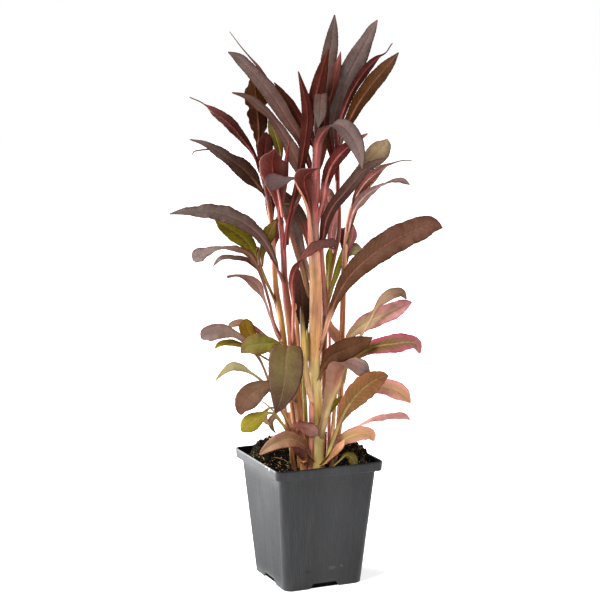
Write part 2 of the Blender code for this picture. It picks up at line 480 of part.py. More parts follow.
def make_sky():
    """The space over the compost: a block whose underside is the compost's surface."""
    bm = bmesh.new()
    bmesh.ops.create_grid(bm, x_segments=SOIL_CELLS, y_segments=SOIL_CELLS, size=RIM_WIDTH / 2 * MM)
    for vert in bm.verts:
        vert.co.z = soil_height(vert.co.x / MM, vert.co.y / MM) * MM
    bmesh.ops.triangulate(bm, faces=bm.faces)
    raised = bmesh.ops.extrude_face_region(bm, geom=bm.faces[:])
    for vert in raised["geom"]:
        if isinstance(vert, bmesh.types.BMVert):
            vert.co.z = 2 * POT_HEIGHT * MM
    return mesh_from("sky", bm)


def make_soil():
    top = POT_HEIGHT - BAND_HEIGHT
    shoulder = top + LEDGE + WALL
    inset = WALL + GAP
    low = FLOOR + GAP
    inner_corner = RIM_CORNER - LIP_CORNER
    bm = bmesh.new()
    loft(bm, [
        (body_half(low) - inset, low, corner_at(0) - inset),
        (body_half(top) - inset, shoulder - GAP, corner_at(top) - inset),
        (RIM_WIDTH / 2 - inset - GAP, shoulder + 1.5 * GAP, inner_corner),
        (RIM_WIDTH / 2 - inset - GAP, POT_HEIGHT + SOIL_HEAP, inner_corner),
    ])
    soil = add_object("compost", mesh_from("compost", bm), material("compost", (0.012, 0.010, 0.008), 0.95))
    cut(soil, "sky", make_sky())
    for name in STEMS:
        swollen = make_stem(f"{name}_swollen", name, GAP)
        mesh = bpy.data.meshes.new_from_object(swollen.evaluated_get(bpy.context.evaluated_depsgraph_get()))
        bpy.data.objects.remove(swollen, do_unlink=True)
        cut(soil, f"{name}_socket", mesh)


# The plant

def make_stem(label, name, swell):
    """One stem as a capped tube; a swollen copy of it cuts its socket in the compost."""
    colour, rows = STEMS[name]
    rows = [(*seen(*row[:3]), row[3]) for row in rows]
    curve = bpy.data.curves.new(label, "CURVE")
    curve.dimensions = "3D"
    curve.bevel_depth = MM
    curve.bevel_resolution = STEM_SIDES
    curve.use_fill_caps = True
    spline = curve.splines.new("POLY")
    samples = smooth_path(rows, STEM_STEPS + 1)
    samples[0, 2] -= 3 * swell
    spline.points.add(len(samples) - 1)
    for point, (x, y, z, radius) in zip(spline.points, samples):
        point.co = (*in_pot((x, y, z)), 1)
        point.radius = radius + swell
    return add_object(label, curve, material(f"stem {colour}", COLOURS[colour], 0.5))


def facing_vector(angle):
    """Where the upper side looks, in the plant's own frame: 0 to the front, 90 up, 180 to the back."""
    turn = math.radians(angle)
    return np.array([0, -math.cos(turn), math.sin(turn)])


def leaf_frames(stem, height, rows, count):
    """Places, widths and the across and upper directions at even steps along a leaf."""
    places = [seen(*row[:3]) for row in rows]
    axis, radius = stem_at(stem, height)
    outward = places[0] - axis
    outward[2] = 0
    outward /= np.linalg.norm(outward)
    base = axis + outward * (radius + GAP + LEAF_THICKNESS)
    places = [base] + places
    widths = [min(rows[0][3], 1.7 * radius)] + [row[3] for row in rows]
    facings = [-outward] + [facing_vector(row[4]) for row in rows]
    samples = smooth_path([(*p, w, *f) for p, w, f in zip(places, widths, facings)], count)
    along = np.gradient(samples[:, :3], axis=0)
    along /= np.linalg.norm(along, axis=1)[:, None]
    upper = samples[:, 4:7]
    upper = upper - np.sum(upper * along, axis=1)[:, None] * along
    upper /= np.linalg.norm(upper, axis=1)[:, None]
    return samples[:, :3], np.maximum(samples[:, 3], MIN_WIDTH), np.cross(upper, along), upper


def make_leaf(name):
    """One leaf: a creased sheet along its midrib, made solid by its thickness."""
    stem, height, colour, rows = LEAVES[name]
    places, widths, across, upper = leaf_frames(stem, height, rows, LEAF_STEPS + 1)
    fold = math.radians(LEAF_FOLD)
    bm = bmesh.new()
    lines = []
    for place, width, side, face in zip(places, widths, across, upper):
        line = []
        for half in (-1, 0, 1):
            point = (place + half * side * width / 2 * math.cos(fold)
                     + abs(half) * face * width / 2 * math.sin(fold))
            line.append(bm.verts.new(in_pot(point)))
        lines.append(line)
    for low, high in zip(lines, lines[1:]):
        for k in range(2):
            bm.faces.new((low[k], low[k + 1], high[k + 1], high[k]))
    leaf = add_object(name, mesh_from(name, bm), material(f"leaf {colour}", COLOURS[colour], 0.5))
    solid = leaf.modifiers.new("thickness", "SOLIDIFY")
    solid.thickness = LEAF_THICKNESS * MM
    solid.offset = 0


def main():
    clear_scene()
    make_pot()
    make_soil()
    for name in STEMS:
        make_stem(name, name, 0)
    for name in LEAVES:
        make_leaf(name)


main()
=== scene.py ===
"""The look of the potted cardinal flower: fine leaves, stems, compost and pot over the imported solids."""
import math

import bpy
import numpy as np
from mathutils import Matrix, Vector, noise


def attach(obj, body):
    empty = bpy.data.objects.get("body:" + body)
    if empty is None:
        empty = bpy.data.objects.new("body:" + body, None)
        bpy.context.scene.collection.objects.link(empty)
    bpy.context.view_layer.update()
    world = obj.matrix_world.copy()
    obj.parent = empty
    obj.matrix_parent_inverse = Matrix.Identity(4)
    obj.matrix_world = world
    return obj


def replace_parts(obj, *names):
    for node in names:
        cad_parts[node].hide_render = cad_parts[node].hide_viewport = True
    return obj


MM = 0.001

# The pot, mm, as in the frame
RIM_WIDTH = 91.0
POT_HEIGHT = 100.4
BAND_HEIGHT = 8.2
BAND_STEP = 4.0
BODY_TOP = POT_HEIGHT - BAND_HEIGHT
SHOULDER = BODY_TOP + 0.5       # where the rim band starts
BODY_TOP_WIDTH = RIM_WIDTH - 2 * BAND_STEP - 0.6
FOOT_WIDTH = 66.6
WALL = 1.2
RIM_CORNER = 4.2
FOOT_CORNER = 7.0
NOTCH_WIDTH = 22.0
NOTCH_HEIGHT = 3.8
NOTCH_SLANT = 3.0               # how far a notch takes to rise
SIDE_STEPS = 161                # points along one side of the pot, which carry its fine ribs
CORNER_STEPS = 8
BODY_RINGS = 22
RIB_PITCH = 5                   # points from one rib to the next
RIB_DEPTH = 0.17
RIB_FADE = 8.0                  # ribs fade out this near the foot and the band
SHARP_ANGLE = 38.0              # degrees between faces that meet in a crease
FOOT_RINGS = 3                  # the first rings, with the inner finish of painted shade
INNER_RINGS = 6                 # the last rings, with the inner finish of painted shade
# Scuffs and smudges, and two painted highlights on the rim's top edge: the middle, mm, the reach along each axis, the
# tone and how strongly it shows
SCUFFS_AND_RIM_HIGHLIGHTS = (
    ((-45.4, -29.0, 99.4), (2.0, 1.1, 2.4), 0.55, 0.75), ((-45.4, -23.0, 99.6), (2.0, 2.4, 0.7), 0.35, 0.7),
    ((-15.0, -35.0, 15.0), (5.0, 3.0, 2.0), 0.0, 0.95), ((6.0, -35.0, 16.0), (4.0, 3.0, 2.0), 0.085, 0.6),
    ((14.0, -35.0, 16.5), (1.4, 3.0, 1.2), 0.12, 0.7))

# The compost, mm
SOIL_LEVEL = 88.5
SOIL_HEAP = 15.5
HEAP_FROM = 20.0                # it starts to rise this far from the pot's middle
HEAP_RUN = 16.0
BACK_FROM = -14.0               # and from here on towards the back
BACK_RUN = 34.0
LEFT_CORNER = -51.5             # the heap leaves the pot's left corner free
LEFT_RUN = 12.0
SOIL_CELLS = 110
SOIL_REACH = 43.0               # where the level at the wall is read
SOIL_BOTTOM = 80.0              # how far down the surface is carried inside the pot
SOIL_NARROW = 92.0              # below this its sides follow the pot's body
SOIL_GAP = 0.4                  # from the pot's wall
CRUMB_SPREAD = 41.0
# Golden curled fibres on the compost, across and up in the front view, mm
CURLS = (((-27, 96), (-31, 97.5), (-33, 100), (-31, 102), (-27.5, 101.5)),
         ((-32, 99), (-27, 97.6), (-22, 96.6), (-18, 95), (-14, 93.4)),
         ((-21, 90.2), (-17, 91.2), (-13, 90.6), (-10, 91.8)), ((-24, 93.2), (-20, 93.8), (-17.5, 92.6)))
CURL_THICK = 0.42
# How many bits there are on the compost, the seeds of their chance, and how far over its level the heap's bits start
CRUMB_COUNT = 3400
CRUMB_SEED = 7
FIBRE_COUNT = 620
FIBRE_SEED = 11
FIBRE_HEAP = 6
MOSS_PLACES = 420
MOSS_BLADES = 5                 # at each place
MOSS_SEED = 23
MOSS_HEAP = 7
# Linear colours of the bits on the compost, and how common each is
CRUMBS = ((0.006, 0.005, 0.004), (0.012, 0.009, 0.006), (0.03, 0.02, 0.01), (0.12, 0.075, 0.03), (0.85, 0.62, 0.28))
CRUMB_SHARES = (0.36, 0.28, 0.14, 0.09, 0.13)
GOLDEN_GLINT = 4                      # the crumbs' last colour: golden bits, bright enough to be partly painted glints
FIBRES = ((0.22, 0.15, 0.06), (0.42, 0.30, 0.12), (0.10, 0.07, 0.03), (0.03, 0.02, 0.012), (0.26, 0.23, 0.07))
FIBRE_SHARES = (0.25, 0.15, 0.2, 0.25, 0.15)
CURL_COLOUR = (0.50, 0.36, 0.11)
MOSS = ((0.07, 0.075, 0.015), (0.12, 0.115, 0.03), (0.045, 0.04, 0.014), (0.16, 0.13, 0.05))

# The plant and the camera, mm and degrees
PLANT_TURN = -23.4
POT_ACROSS = 1.3
EYE_ACROSS = -5.0
EYE_AWAY = 1285.0
EYE_UP = 419.0
AIM_UP = 224.5
LENS = 99.2
SENSOR = 36.0

# Leaves, mm
LEAF_STEP = 0.95                # from one row of points to the next
LEAF_FOOT = 0.62                # a leaf starts this share of its stem's radius from the stem's axis
LEAF_CLASP = (1.2, 1.75)        # its least and most width there, in radii of the stem
LEAST_WIDTH = 0.7
STALK_HALF = 1.3                # half the width up to which a leaf is all stalk
BLADE_RISE = 2.5                # and past it, how much more makes it all blade
SLIM_FROM = 0.4                 # where a slim leaf starts to narrow, as a share of its length
SLIM_RUN = 0.25
SMALL_SEED = 100                # the small leaves' chance starts from here
BLADE = 0.5                     # thickness of a leaf's blade
COLUMNS = (-1, -0.86, -0.66, -0.44, -0.25, -0.12, -0.05, 0, 0.05, 0.12, 0.25, 0.44, 0.66, 0.86, 1)
VEIN_PITCH = 4.4
VEIN_SLANT = 1.15
VEIN_BULGE = 0.16
RIPPLES = ((1.0, 19.0, 16.34), (0.45, 7.3, 6.7))    # share, then wave length along the right and the left margin
TOOTH_PITCH = 3.1
BITES = (2.1, 5.3)              # two wave lengths, which together place the bits that a ragged margin lacks
RIB_TAPER = ((0, 0.5, 1), (1.0, 0.62, 0.22))        # the midrib's half width, by the share along the leaf
RIB_DEEP = 1.25                 # how far the midrib stands out below, in its half widths
RIB_GROOVE = 0.35               # the share of that by which it sinks above
RIB_FAINT = ((0.1, 0.5, 1), (1.0, 0.7, 0.3))        # the midrib's colour fades towards the tip
OTHER_SIDE = 0.75               # how much of its own colour a leaf's other side takes

# Stems, mm
STEM_STEP = 2.0
STEM_SIDES = 24
STALK_SIDES = 10
STEM_FULL = {"stem_main": 1.14, "stem_left_front": 1.05}
STEM_SWELL = 0.07               # at a leaf
SWELL_REACH = 2.2
STEM_RIBS = 0.035
STEM_BACK_SHADE = 0.6                 # how much painted shade darkens stems at the back
STEM_BRIGHTEST = 0.8
# Painted shade and light: how much darker a stem is painted on its left side, and how much paler on its right one
STEM_SIDE_SHADES = {"stem_main": (0.05, 1.3), "stem_right": (0.3, 0.7), "stem_back": (0.55, 1.2),
              "stem_left_front": (0.25, 0.3)}

# The light, from the front left and above, as in the photograph: directions and metres in the front view's frame
KEY_FROM = (-0.8, -0.75, 1.0)
KEY_LIGHT = 3.1
KEY_SPREAD = 20.0
AMBIENT = 0.15
FLOOR_GLOW = 0.62
FLOOR_REACH = 6.0
FILM_GAMMA = 0.88
LAMP_AIM = 0.22                 # the height that the lamps point at
# Lamps: name, place, size and power
LAMPS = (("left", (-1.0, 0.42, 0.46), 0.9, 31.0), ("front", (0.1, -1.5, 1.0), 0.8, 4.0),
         ("right", (1.4, 0.6, 0.7), 0.7, 9.0))

# Colours as they look in even light, red, green, blue out of 255; the grey mauves, such as slate, mauve and
# pale_mauve, are partly the leaves' own greyish colour and partly painted sheen of the light from above
COLOURS = {
    "black_wine": (58, 26, 14), "dark_wine": (74, 33, 24), "wine": (88, 38, 32), "plum": (108, 48, 50),
    "rose_wine": (134, 62, 60), "red_brown": (82, 40, 24), "umber": (56, 34, 18), "olive_brown": (80, 48, 10),
    "dusk": (74, 54, 46), "dark_bronze": (92, 60, 40), "bronze": (101, 69, 46), "warm_bronze": (115, 82, 68),
    "mauve_brown": (103, 75, 67), "grey_brown": (98, 78, 69), "slate": (107, 95, 91), "mauve": (124, 107, 103),
    "pale_mauve": (139, 126, 122), "olive": (95, 83, 21), "moss": (110, 92, 40), "ochre": (134, 102, 31),
    "green": (138, 124, 52), "bright_green": (152, 140, 48), "pale_green": (172, 161, 116),
    "khaki": (133, 109, 84), "tan": (145, 123, 98), "brick": (138, 92, 62), "clay": (158, 108, 76),
    "sand": (184, 144, 108), "orange": (204, 150, 102), "peach": (224, 170, 138), "rose": (166, 108, 98),
    "dusty_pink": (184, 128, 122), "pink": (220, 150, 144), "pale_pink": (224, 190, 182),
    "hot_pink": (206, 86, 126), "straw": (188, 168, 118), "cream": (212, 184, 140), "stalk_pink": (160, 92, 88),
    "stem_peach": (214, 158, 116), "stem_sand": (222, 172, 116), "stem_yellow": (214, 190, 112),
    "stem_lime": (186, 176, 84), "stem_olive": (186, 146, 74), "stem_rose": (176, 92, 84),
    "stem_red": (124, 60, 48), "stem_brown": (158, 98, 60), "stem_glow": (232, 156, 142), "wilted": (108, 88, 54),
    "red_orange": (126, 62, 22), "bark": (80, 54, 30), "dusty_brown": (142, 110, 96), "warm_grey": (112, 86, 78),
    "plum_grey": (94, 74, 74), "leaf_green": (128, 118, 32), "leaf_lime": (142, 130, 36),
    "leaf_bright": (166, 172, 76), "leaf_soft": (152, 148, 72), "sage": (126, 112, 66),
    "olive_tan": (125, 102, 60), "brown_clay": (120, 80, 50), "pale_sage": (152, 144, 108),
    "pale_cream": (230, 208, 176), "pale_tan": (194, 158, 134), "grey_tan": (120, 96, 80),
    "gold_green": (164, 138, 42), "soft_pink": (208, 152, 150), "pale_khaki": (168, 146, 116),
    "shell_pink": (246, 214, 208), "straw_green": (196, 190, 100), "peach_tan": (210, 168, 134),
    "rose_light": (188, 122, 110), "dusty_mauve": (116, 92, 86), "dusty_rose": (166, 122, 112),
    "mauve_tan": (160, 130, 122), "rose_brown": (146, 104, 82), "stem_cream": (226, 206, 142),
    "stem_umber": (118, 66, 40), "arch_pink": (206, 130, 128), "rose_tan": (148, 106, 98),
    "stem_beige": (188, 142, 114), "stem_tan": (206, 164, 112), "stem_pink": (204, 138, 122),
    "rosewood": (150, 92, 84), "hang_olive": (118, 104, 68), "deep_bronze": (86, 58, 34), "wheat": (186, 143, 97),
    "fawn": (150, 106, 74), "honey": (220, 186, 108), "hazel": (130, 86, 34), "mauve_wine": (122, 74, 72),
    "khaki_sand": (168, 136, 92), "flush_pink": (255, 196, 188),
}

# What each leaf looks like: from the stem to the tip on the side that the front view shows, then the midrib,
# the margin and the other side
LOOKS = {
    "top_leaf": "stalk_pink mauve_brown slate rose red_brown wine",
    "top_leaf_red": "plum wine red_brown rose_wine black_wine mauve_brown",
    "top_leaf_dark": "rose_wine dark_wine wine rose_wine black_wine wine",
    "small_grey_leaf": "dusk warm_grey slate mauve_brown dusk wine",
    "left_leaf_grey": "dark_wine mauve_brown mauve rose red_brown wine",
    "left_leaf_narrow": "dark_wine wine dusty_rose rose wine wine",
    "left_leaf_olive": "olive_brown black_wine olive_brown brick black_wine olive_brown",
    "crossing_leaf": "dusty_brown warm_grey grey_brown rose wine wine",
    "left_leaf_green": "olive_brown olive sage straw olive_brown olive",
    "left_leaf_red": "black_wine black_wine mauve_wine rose_wine black_wine mauve_brown",
    "left_leaf_wide": "umber dusk mauve brick dark_wine wine",
    "folded_leaf_left": "plum wine wine stem_rose dusty_rose wine",
    "folded_leaf_middle": "stem_beige wine wine stem_rose dusty_rose wine",
    "grey_tongue_leaf": "wine pale_mauve plum_grey rose plum plum",
    "arching_leaf": "arch_pink mauve mauve stem_rose dusk wine",
    "right_leaf_grey": "slate slate mauve rose dark_wine wine",
    "right_leaf_twisted": "rose_wine dark_wine plum rose black_wine mauve_brown",
    "right_leaf_olive": "olive_brown olive_brown bronze rose umber olive_brown",
    "right_leaf_mauve": "arch_pink wine rose_wine stem_glow wine mauve_brown",
    "right_leaf_tan": "tan tan pale_khaki straw umber plum",
    "right_leaf_dark": "dark_wine dusk dusty_mauve stalk_pink dark_wine mauve_brown",
    "right_leaf_long": "wine rose slate pale_pink wine mauve",
    "right_leaf_curled": "rose_light rose_light pale_mauve pale_pink plum mauve",
    "long_leaf_left": "mauve_brown grey_brown slate rose red_brown wine",
    "green_leaf_left": "brick leaf_green leaf_lime straw olive olive",
    "spoon_leaf_left": "stalk_pink rose_brown pale_mauve rose wine wine",
    "small_leaf_left": "shell_pink mauve_tan warm_bronze rose brick rose",
    "olive_leaf_left": "moss olive moss brick umber plum",
    "front_leaf_crossing": "stem_glow rose_wine mauve_brown rose red_brown wine",
    "big_leaf_right": "peach_tan deep_bronze warm_bronze rose red_brown wine",
    "dark_leaf_middle": "pale_tan mauve mauve rose olive wine",
    "dark_leaf_low": "bark umber warm_bronze brick umber wine",
    "low_leaf_round": "stem_olive pale_khaki mauve rose rose_wine plum",
    "low_leaf_green": "leaf_bright leaf_soft sage straw brick khaki",
    "low_leaf_ochre": "gold_green gold_green ochre straw red_brown plum",
    "low_leaf_pale": "brick pale_green pale_sage straw brick khaki",
    "low_leaf_left": "khaki khaki warm_bronze rose red_brown plum",
    "hanging_leaf": "moss hang_olive dusk dusty_rose mauve_brown plum",
    "low_leaf_yellow": "pale_green green bright_green straw brick khaki",
    "orange_leaf_front": "stem_tan clay tan sand rose rose",
    "low_leaf_dark": "stem_tan dark_bronze bronze brick red_brown plum",
    "low_leaf_pink_edge": "leaf_soft moss rose_tan stem_yellow hot_pink rose",
    "low_leaf_pink": "cream pale_khaki soft_pink cream hot_pink rose",
    "low_leaf_brown_curl": "pale_cream pale_tan grey_tan straw moss plum",
    "folded_leaf_low": "stem_cream rose mauve straw dusty_brown rose_brown",
    "low_leaf_olive_right": "straw_green olive_tan brown_clay straw brick rose",
    "low_leaf_tan": "straw pale_tan sand cream pink rose",
    "low_leaf_thin_pink": "shell_pink flush_pink flush_pink pink pink pink",
    "orange_leaf_right": "straw_green khaki_sand sand cream pink rose",
    "back_leaf_tall": "dusty_rose rose rose_wine rose dark_wine wine",
    "back_leaf_left": "plum wine rose_wine rose dark_wine wine",
    "back_leaf_right": "rose_wine rose dusty_rose rose dark_wine slate",
    "back_leaf_low": "olive brick bronze straw brick bronze",
    # the small leaves
    "inner_leaf_brown": "dark_wine red_brown red_brown rose_wine dark_wine slate",
    "inner_leaf_left": "wine dark_wine dark_wine rose_wine dark_wine dark_wine",
    "inner_leaf_top": "wine red_brown rosewood rose wine slate",
    "inner_leaf_right": "olive moss straw rose olive plum",
    "curled_thread": "dusk slate slate rose dusk wine",
    "thin_leaf_left": "stem_rose warm_bronze mauve rose wine wine",
    "pink_leaf_back": "rose dusty_pink rose pale_pink rose_wine rose",
    "pink_leaf_right": "rose dusty_pink dusty_pink pale_pink hot_pink rose",
    "round_leaf_back": "pale_green pale_sage pale_sage straw moss pale_green",
    "green_leaf_back": "straw bright_green bright_green straw olive green",
    "green_leaf_inner": "straw bright_green bright_green straw olive green",
    "low_leaf_small": "stem_yellow moss bright_green straw brick tan",
    "low_leaf_lobe": "rose rose tan pale_pink plum rose",
    "crossing_leaf_low": "rose rosewood dusty_brown rose rose_wine rose",
    "peach_leaf_low": "straw orange peach peach rose rose",
    "wilted_leaf": "ochre pale_khaki pale_tan straw umber pale_khaki",
    "wilted_scrap": "stem_peach pale_tan wilted straw brick sand",
    "wilted_leaf_soil": "olive olive sage straw umber sage",
    "back_leaf_wide": "wine plum slate rose dark_wine wine",
    "back_leaf_narrow": "wine wine mauve rose dark_wine mauve",
    "back_leaf_round": "stem_yellow olive brick straw brick tan",
    "green_leaf_low": "stem_lime leaf_green leaf_lime stem_lime brick olive",
    "peach_leaf_back": "stem_peach peach peach peach pink peach",
    "red_stub_low": "stem_peach rosewood rose rose rose_wine rose",
    "dark_leaf_upper": "stem_red umber dark_wine stem_rose black_wine dusk",
    "fold_edge_left": "stem_rose plum plum rose rose_wine plum",
    "olive_leaf_inner": "olive moss olive straw olive moss",
    "dusk_leaf_inner": "stem_rose grey_brown dusk rose brick wine",
    "dark_leaf_behind": "stem_red umber black_wine stem_rose black_wine dusk",
    "back_leaf_basal": "straw orange rose peach rose rose",
}

# Small leaves that the frame has no nodes for, in the form of LEAVES below. Where no stem is named, the first
# point is where the leaf starts.
SMALL_LEAVES = {
    "inner_leaf_brown": ("stem_main", 343, "burgundy", [
        (0, 355, 4, 4, 20), (-5.5, 366, 10, 7, 30), (-12, 376.5, 11, 8, 45), (-19, 386, 11.5, 6, 50),
        (-25, 394, 12, 1, 50)]),
    "inner_leaf_left": ("stem_left", 324, "burgundy", [
        (-33, 334, 1, 9, 0), (-32.2, 342, 0, 12.5, 0), (-31.6, 349, 0.5, 10.5, 0), (-31.3, 353.5, 1, 6, 0),
        (-31.2, 356, 1, 1, 0)]),
    "inner_leaf_top": ("stem_main", 358, "burgundy", [
        (14, 372, 3, 4, 175), (19, 385, 6, 6, 175), (22, 398, 8, 7, 175), (24.5, 409, 9, 5, 175),
        (26.3, 417.5, 9, 0.6, 175)]),
    "inner_leaf_right": ("stem_right", 268, "olive", [
        (34.5, 282, 3, 3, 60), (37.5, 293, 3, 4, 60), (42, 305, 3, 4.5, 60), (48, 313.5, 3, 5, 60),
        (55, 321, 3, 3, 60), (57.5, 324.5, 3, 0.5, 60)]),
    "curled_thread": (None, 0, "mauve", [
        (-70, 342, -1, 2, 60), (-76, 342.6, -1, 1.6, 60), (-83, 341.8, -1, 1.4, 60), (-87.5, 340.5, -1, 1.2, 60),
        (-88.5, 338.5, -1, 0.6, 60)]),
    "thin_leaf_left": ("stem_left", 212, "burgundy", [
        (-28, 232, 5, 2, 30), (-38, 249, 3, 2.5, 35), (-47, 256, 2, 6, 60), (-58, 258, 1, 7, 64),
        (-67, 257.3, 0, 5.5, 60), (-73, 251.5, 0, 0.6, 40)]),
    "pink_leaf_back": ("stem_back", 262, "pink", [
        (19.5, 272, 2, 6, 0), (20.5, 282, 0, 6.5, 0), (23, 292, -1, 4, 0), (25, 299, -2, 0.6, 0)]),
    "pink_leaf_right": ("stem_right", 258, "pink", [
        (34, 268, 9, 4, 0), (36.3, 276, 9, 7, 0), (36.6, 284, 8, 0.8, 0)]),
    "round_leaf_back": ("stem_right", 250, "green", [
        (32.5, 259.5, 8, 3, 30), (36, 263.5, 9, 10, 25), (40, 264.5, 9, 11, 25), (43.5, 265, 9, 1, 25)]),
    "green_leaf_back": ("stem_back", 230, "green", [
        (17, 243, 5, 3, 160), (17.6, 252, 4, 5, 160), (18, 260, 4, 5.5, 160), (18.6, 267, 4, 0.8, 160)]),
    "green_leaf_inner": ("stem_back", 218, "green", [
        (20, 234, 6, 3, 0), (24, 247, 6, 5, 0), (27, 258, 7, 4, 0), (28.5, 266, 7, 0.6, 0)]),
    "low_leaf_small": ("stem_left", 168, "green", [
        (-31, 177, -2, 1.8, 30), (-42, 183.5, -6, 2, 35), (-51, 188, -8, 5, 50), (-62, 190.3, -9, 7, 55),
        (-68.5, 189, -9, 5, 45), (-72.5, 185.5, -9, 0.6, 40)]),
    "low_leaf_lobe": ("stem_left", 184, "pink", [
        (-30, 194, 5, 2, 20), (-42, 202, 6, 5, 20), (-52, 206, 6, 7, 40), (-59, 204.5, 5, 5, 40),
        (-62, 201, 5, 0.8, 40)]),
    "crossing_leaf_low": ("stem_left_front", 108, "pink", [
        (-11.5, 122.6, -18, 3.5, 30), (-6, 123.4, -20.5, 6, 28), (-1, 122, -22.5, 9.5, 24),
        (4, 119.6, -23.5, 11, 18), (7.6, 117.6, -23.5, 8, 12), (9.8, 116.4, -23, 1, 8)]),
    "fold_edge_left": ("stem_left_front", 296, "burgundy", [
        (-17.8, 308, -12, 3.5, 180), (-16.3, 322, -12.5, 4.5, 178), (-15.4, 335, -12.5, 3.4, 175),
        (-14.4, 343, -12.5, 1.8, 175), (-13.1, 349.5, -12.5, 0.6, 175)]),
    "olive_leaf_inner": ("stem_left_front", 300, "olive", [
        (-10, 302, -4, 2.4, 0), (-8.5, 307, -5, 4.6, 0), (-7, 312.5, -5, 4, 0), (-5.5, 318, -4, 0.6, 0)]),
    "dusk_leaf_inner": ("stem_main", 262, "dark", [
        (0, 278, -1, 6, 0), (-5, 290, 1, 10, 0), (-12, 301, 3, 9, 0), (-19, 309, 3, 5, 0),
        (-22, 313, 3, 0.6, 0)]),
    "green_leaf_low": ("stem_main", 118, "green", [
        (14.5, 127, -13, 2.4, 20), (18, 134, -14, 3.4, 20), (22, 140, -14, 4.2, 20), (25.6, 144.6, -14, 3.2, 20),
        (28.5, 147.5, -14, 0.6, 20)]),
    "peach_leaf_back": ("stem_back", 214, "orange", [
        (19, 203, 8, 6, 10), (22.5, 197.5, 8, 8.5, 10), (26.5, 191.5, 8, 7, 10), (31, 186, 8, 0.8, 10)]),
    "red_stub_low": ("stem_left_front", 92, "pink", [
        (-1.5, 98, -19, 6, 20), (-4.5, 103, -21, 9, 22), (-8.5, 106.8, -22.5, 8, 26),
        (-12.5, 108.5, -23, 0.8, 30)]),
    "dark_leaf_upper": ("stem_main", 322, "dark", [
        (10.5, 334, -6, 6, 165), (12.5, 346, -4, 8, 170), (13.5, 360, -2, 8, 175), (15, 372, 0, 6, 178),
        (16.6, 384, 1.5, 0.8, 180)]),
    "dark_leaf_behind": ("stem_back", 318, "dark", [
        (22.5, 332, 7, 6, 0), (20, 346, 11, 9.5, 0), (17.5, 362, 16.5, 10, 0), (18, 378, 20, 7, 0),
        (20.5, 391, 21, 0.8, 0)]),
    "peach_leaf_low": ("stem_main", 90, "orange", [
        (19, 97, -18, 3, 30), (24, 103, -20, 6, 30), (28.5, 108.5, -22, 5, 30), (30.5, 112, -23, 0.8, 30)]),
    "wilted_leaf": ("stem_left_front", 112, "olive", [
        (-15, 126, -14, 1.6, 40), (-22, 136.5, -16, 1.6, 60), (-29, 137.5, -18, 3, 70),
        (-33.5, 132.5, -19, 5, 30), (-32, 127, -19, 4, 20), (-27.5, 123.5, -18, 0.8, 20)]),
    "wilted_scrap": ("stem_left_front", 108, "tan", [
        (-14.5, 119, -15, 1.6, 30), (-20, 126, -17, 2.4, 10), (-25, 131, -18, 4.5, 340), (-28, 128, -18, 5, 20),
        (-27, 121, -18, 3, 30), (-24, 117, -17, 0.8, 30)]),
    "wilted_leaf_soil": (None, 0, "olive", [
        (22, 90.5, -22, 1.6, 60), (27, 95, -22, 2.4, 50), (32, 99.5, -21, 5, 30), (36, 97.5, -22, 8, 10),
        (38.5, 92.5, -23, 7, 5), (40.5, 88.8, -23, 1, 5)]),
    "back_leaf_wide": ("stem_left", 252, "bronze", [
        (-27, 266, 16, 6, 0), (-24.5, 279, 30, 11, 10), (-22.5, 287, 44, 10, 40), (-21.5, 285, 56, 1, 70)]),
    "back_leaf_narrow": ("stem_right", 250, "bronze", [
        (31, 262, 18, 6, 0), (30, 274, 30, 10, 10), (28.5, 281, 44, 8, 40), (27.5, 280, 54, 1, 70)]),
    "back_leaf_round": ("stem_right", 130, "olive", [
        (32, 139, 18, 4, 0), (35, 147, 30, 9, 20), (37, 150, 42, 10, 50), (38, 147, 52, 1, 80)]),
    "back_leaf_basal": ("stem_left", 102, "tan", [
        (-9, 116, 14, 5, 20), (-12, 128, 26, 10, 40), (-14, 134, 40, 13, 75), (-16, 131, 54, 1, 95)]),
}

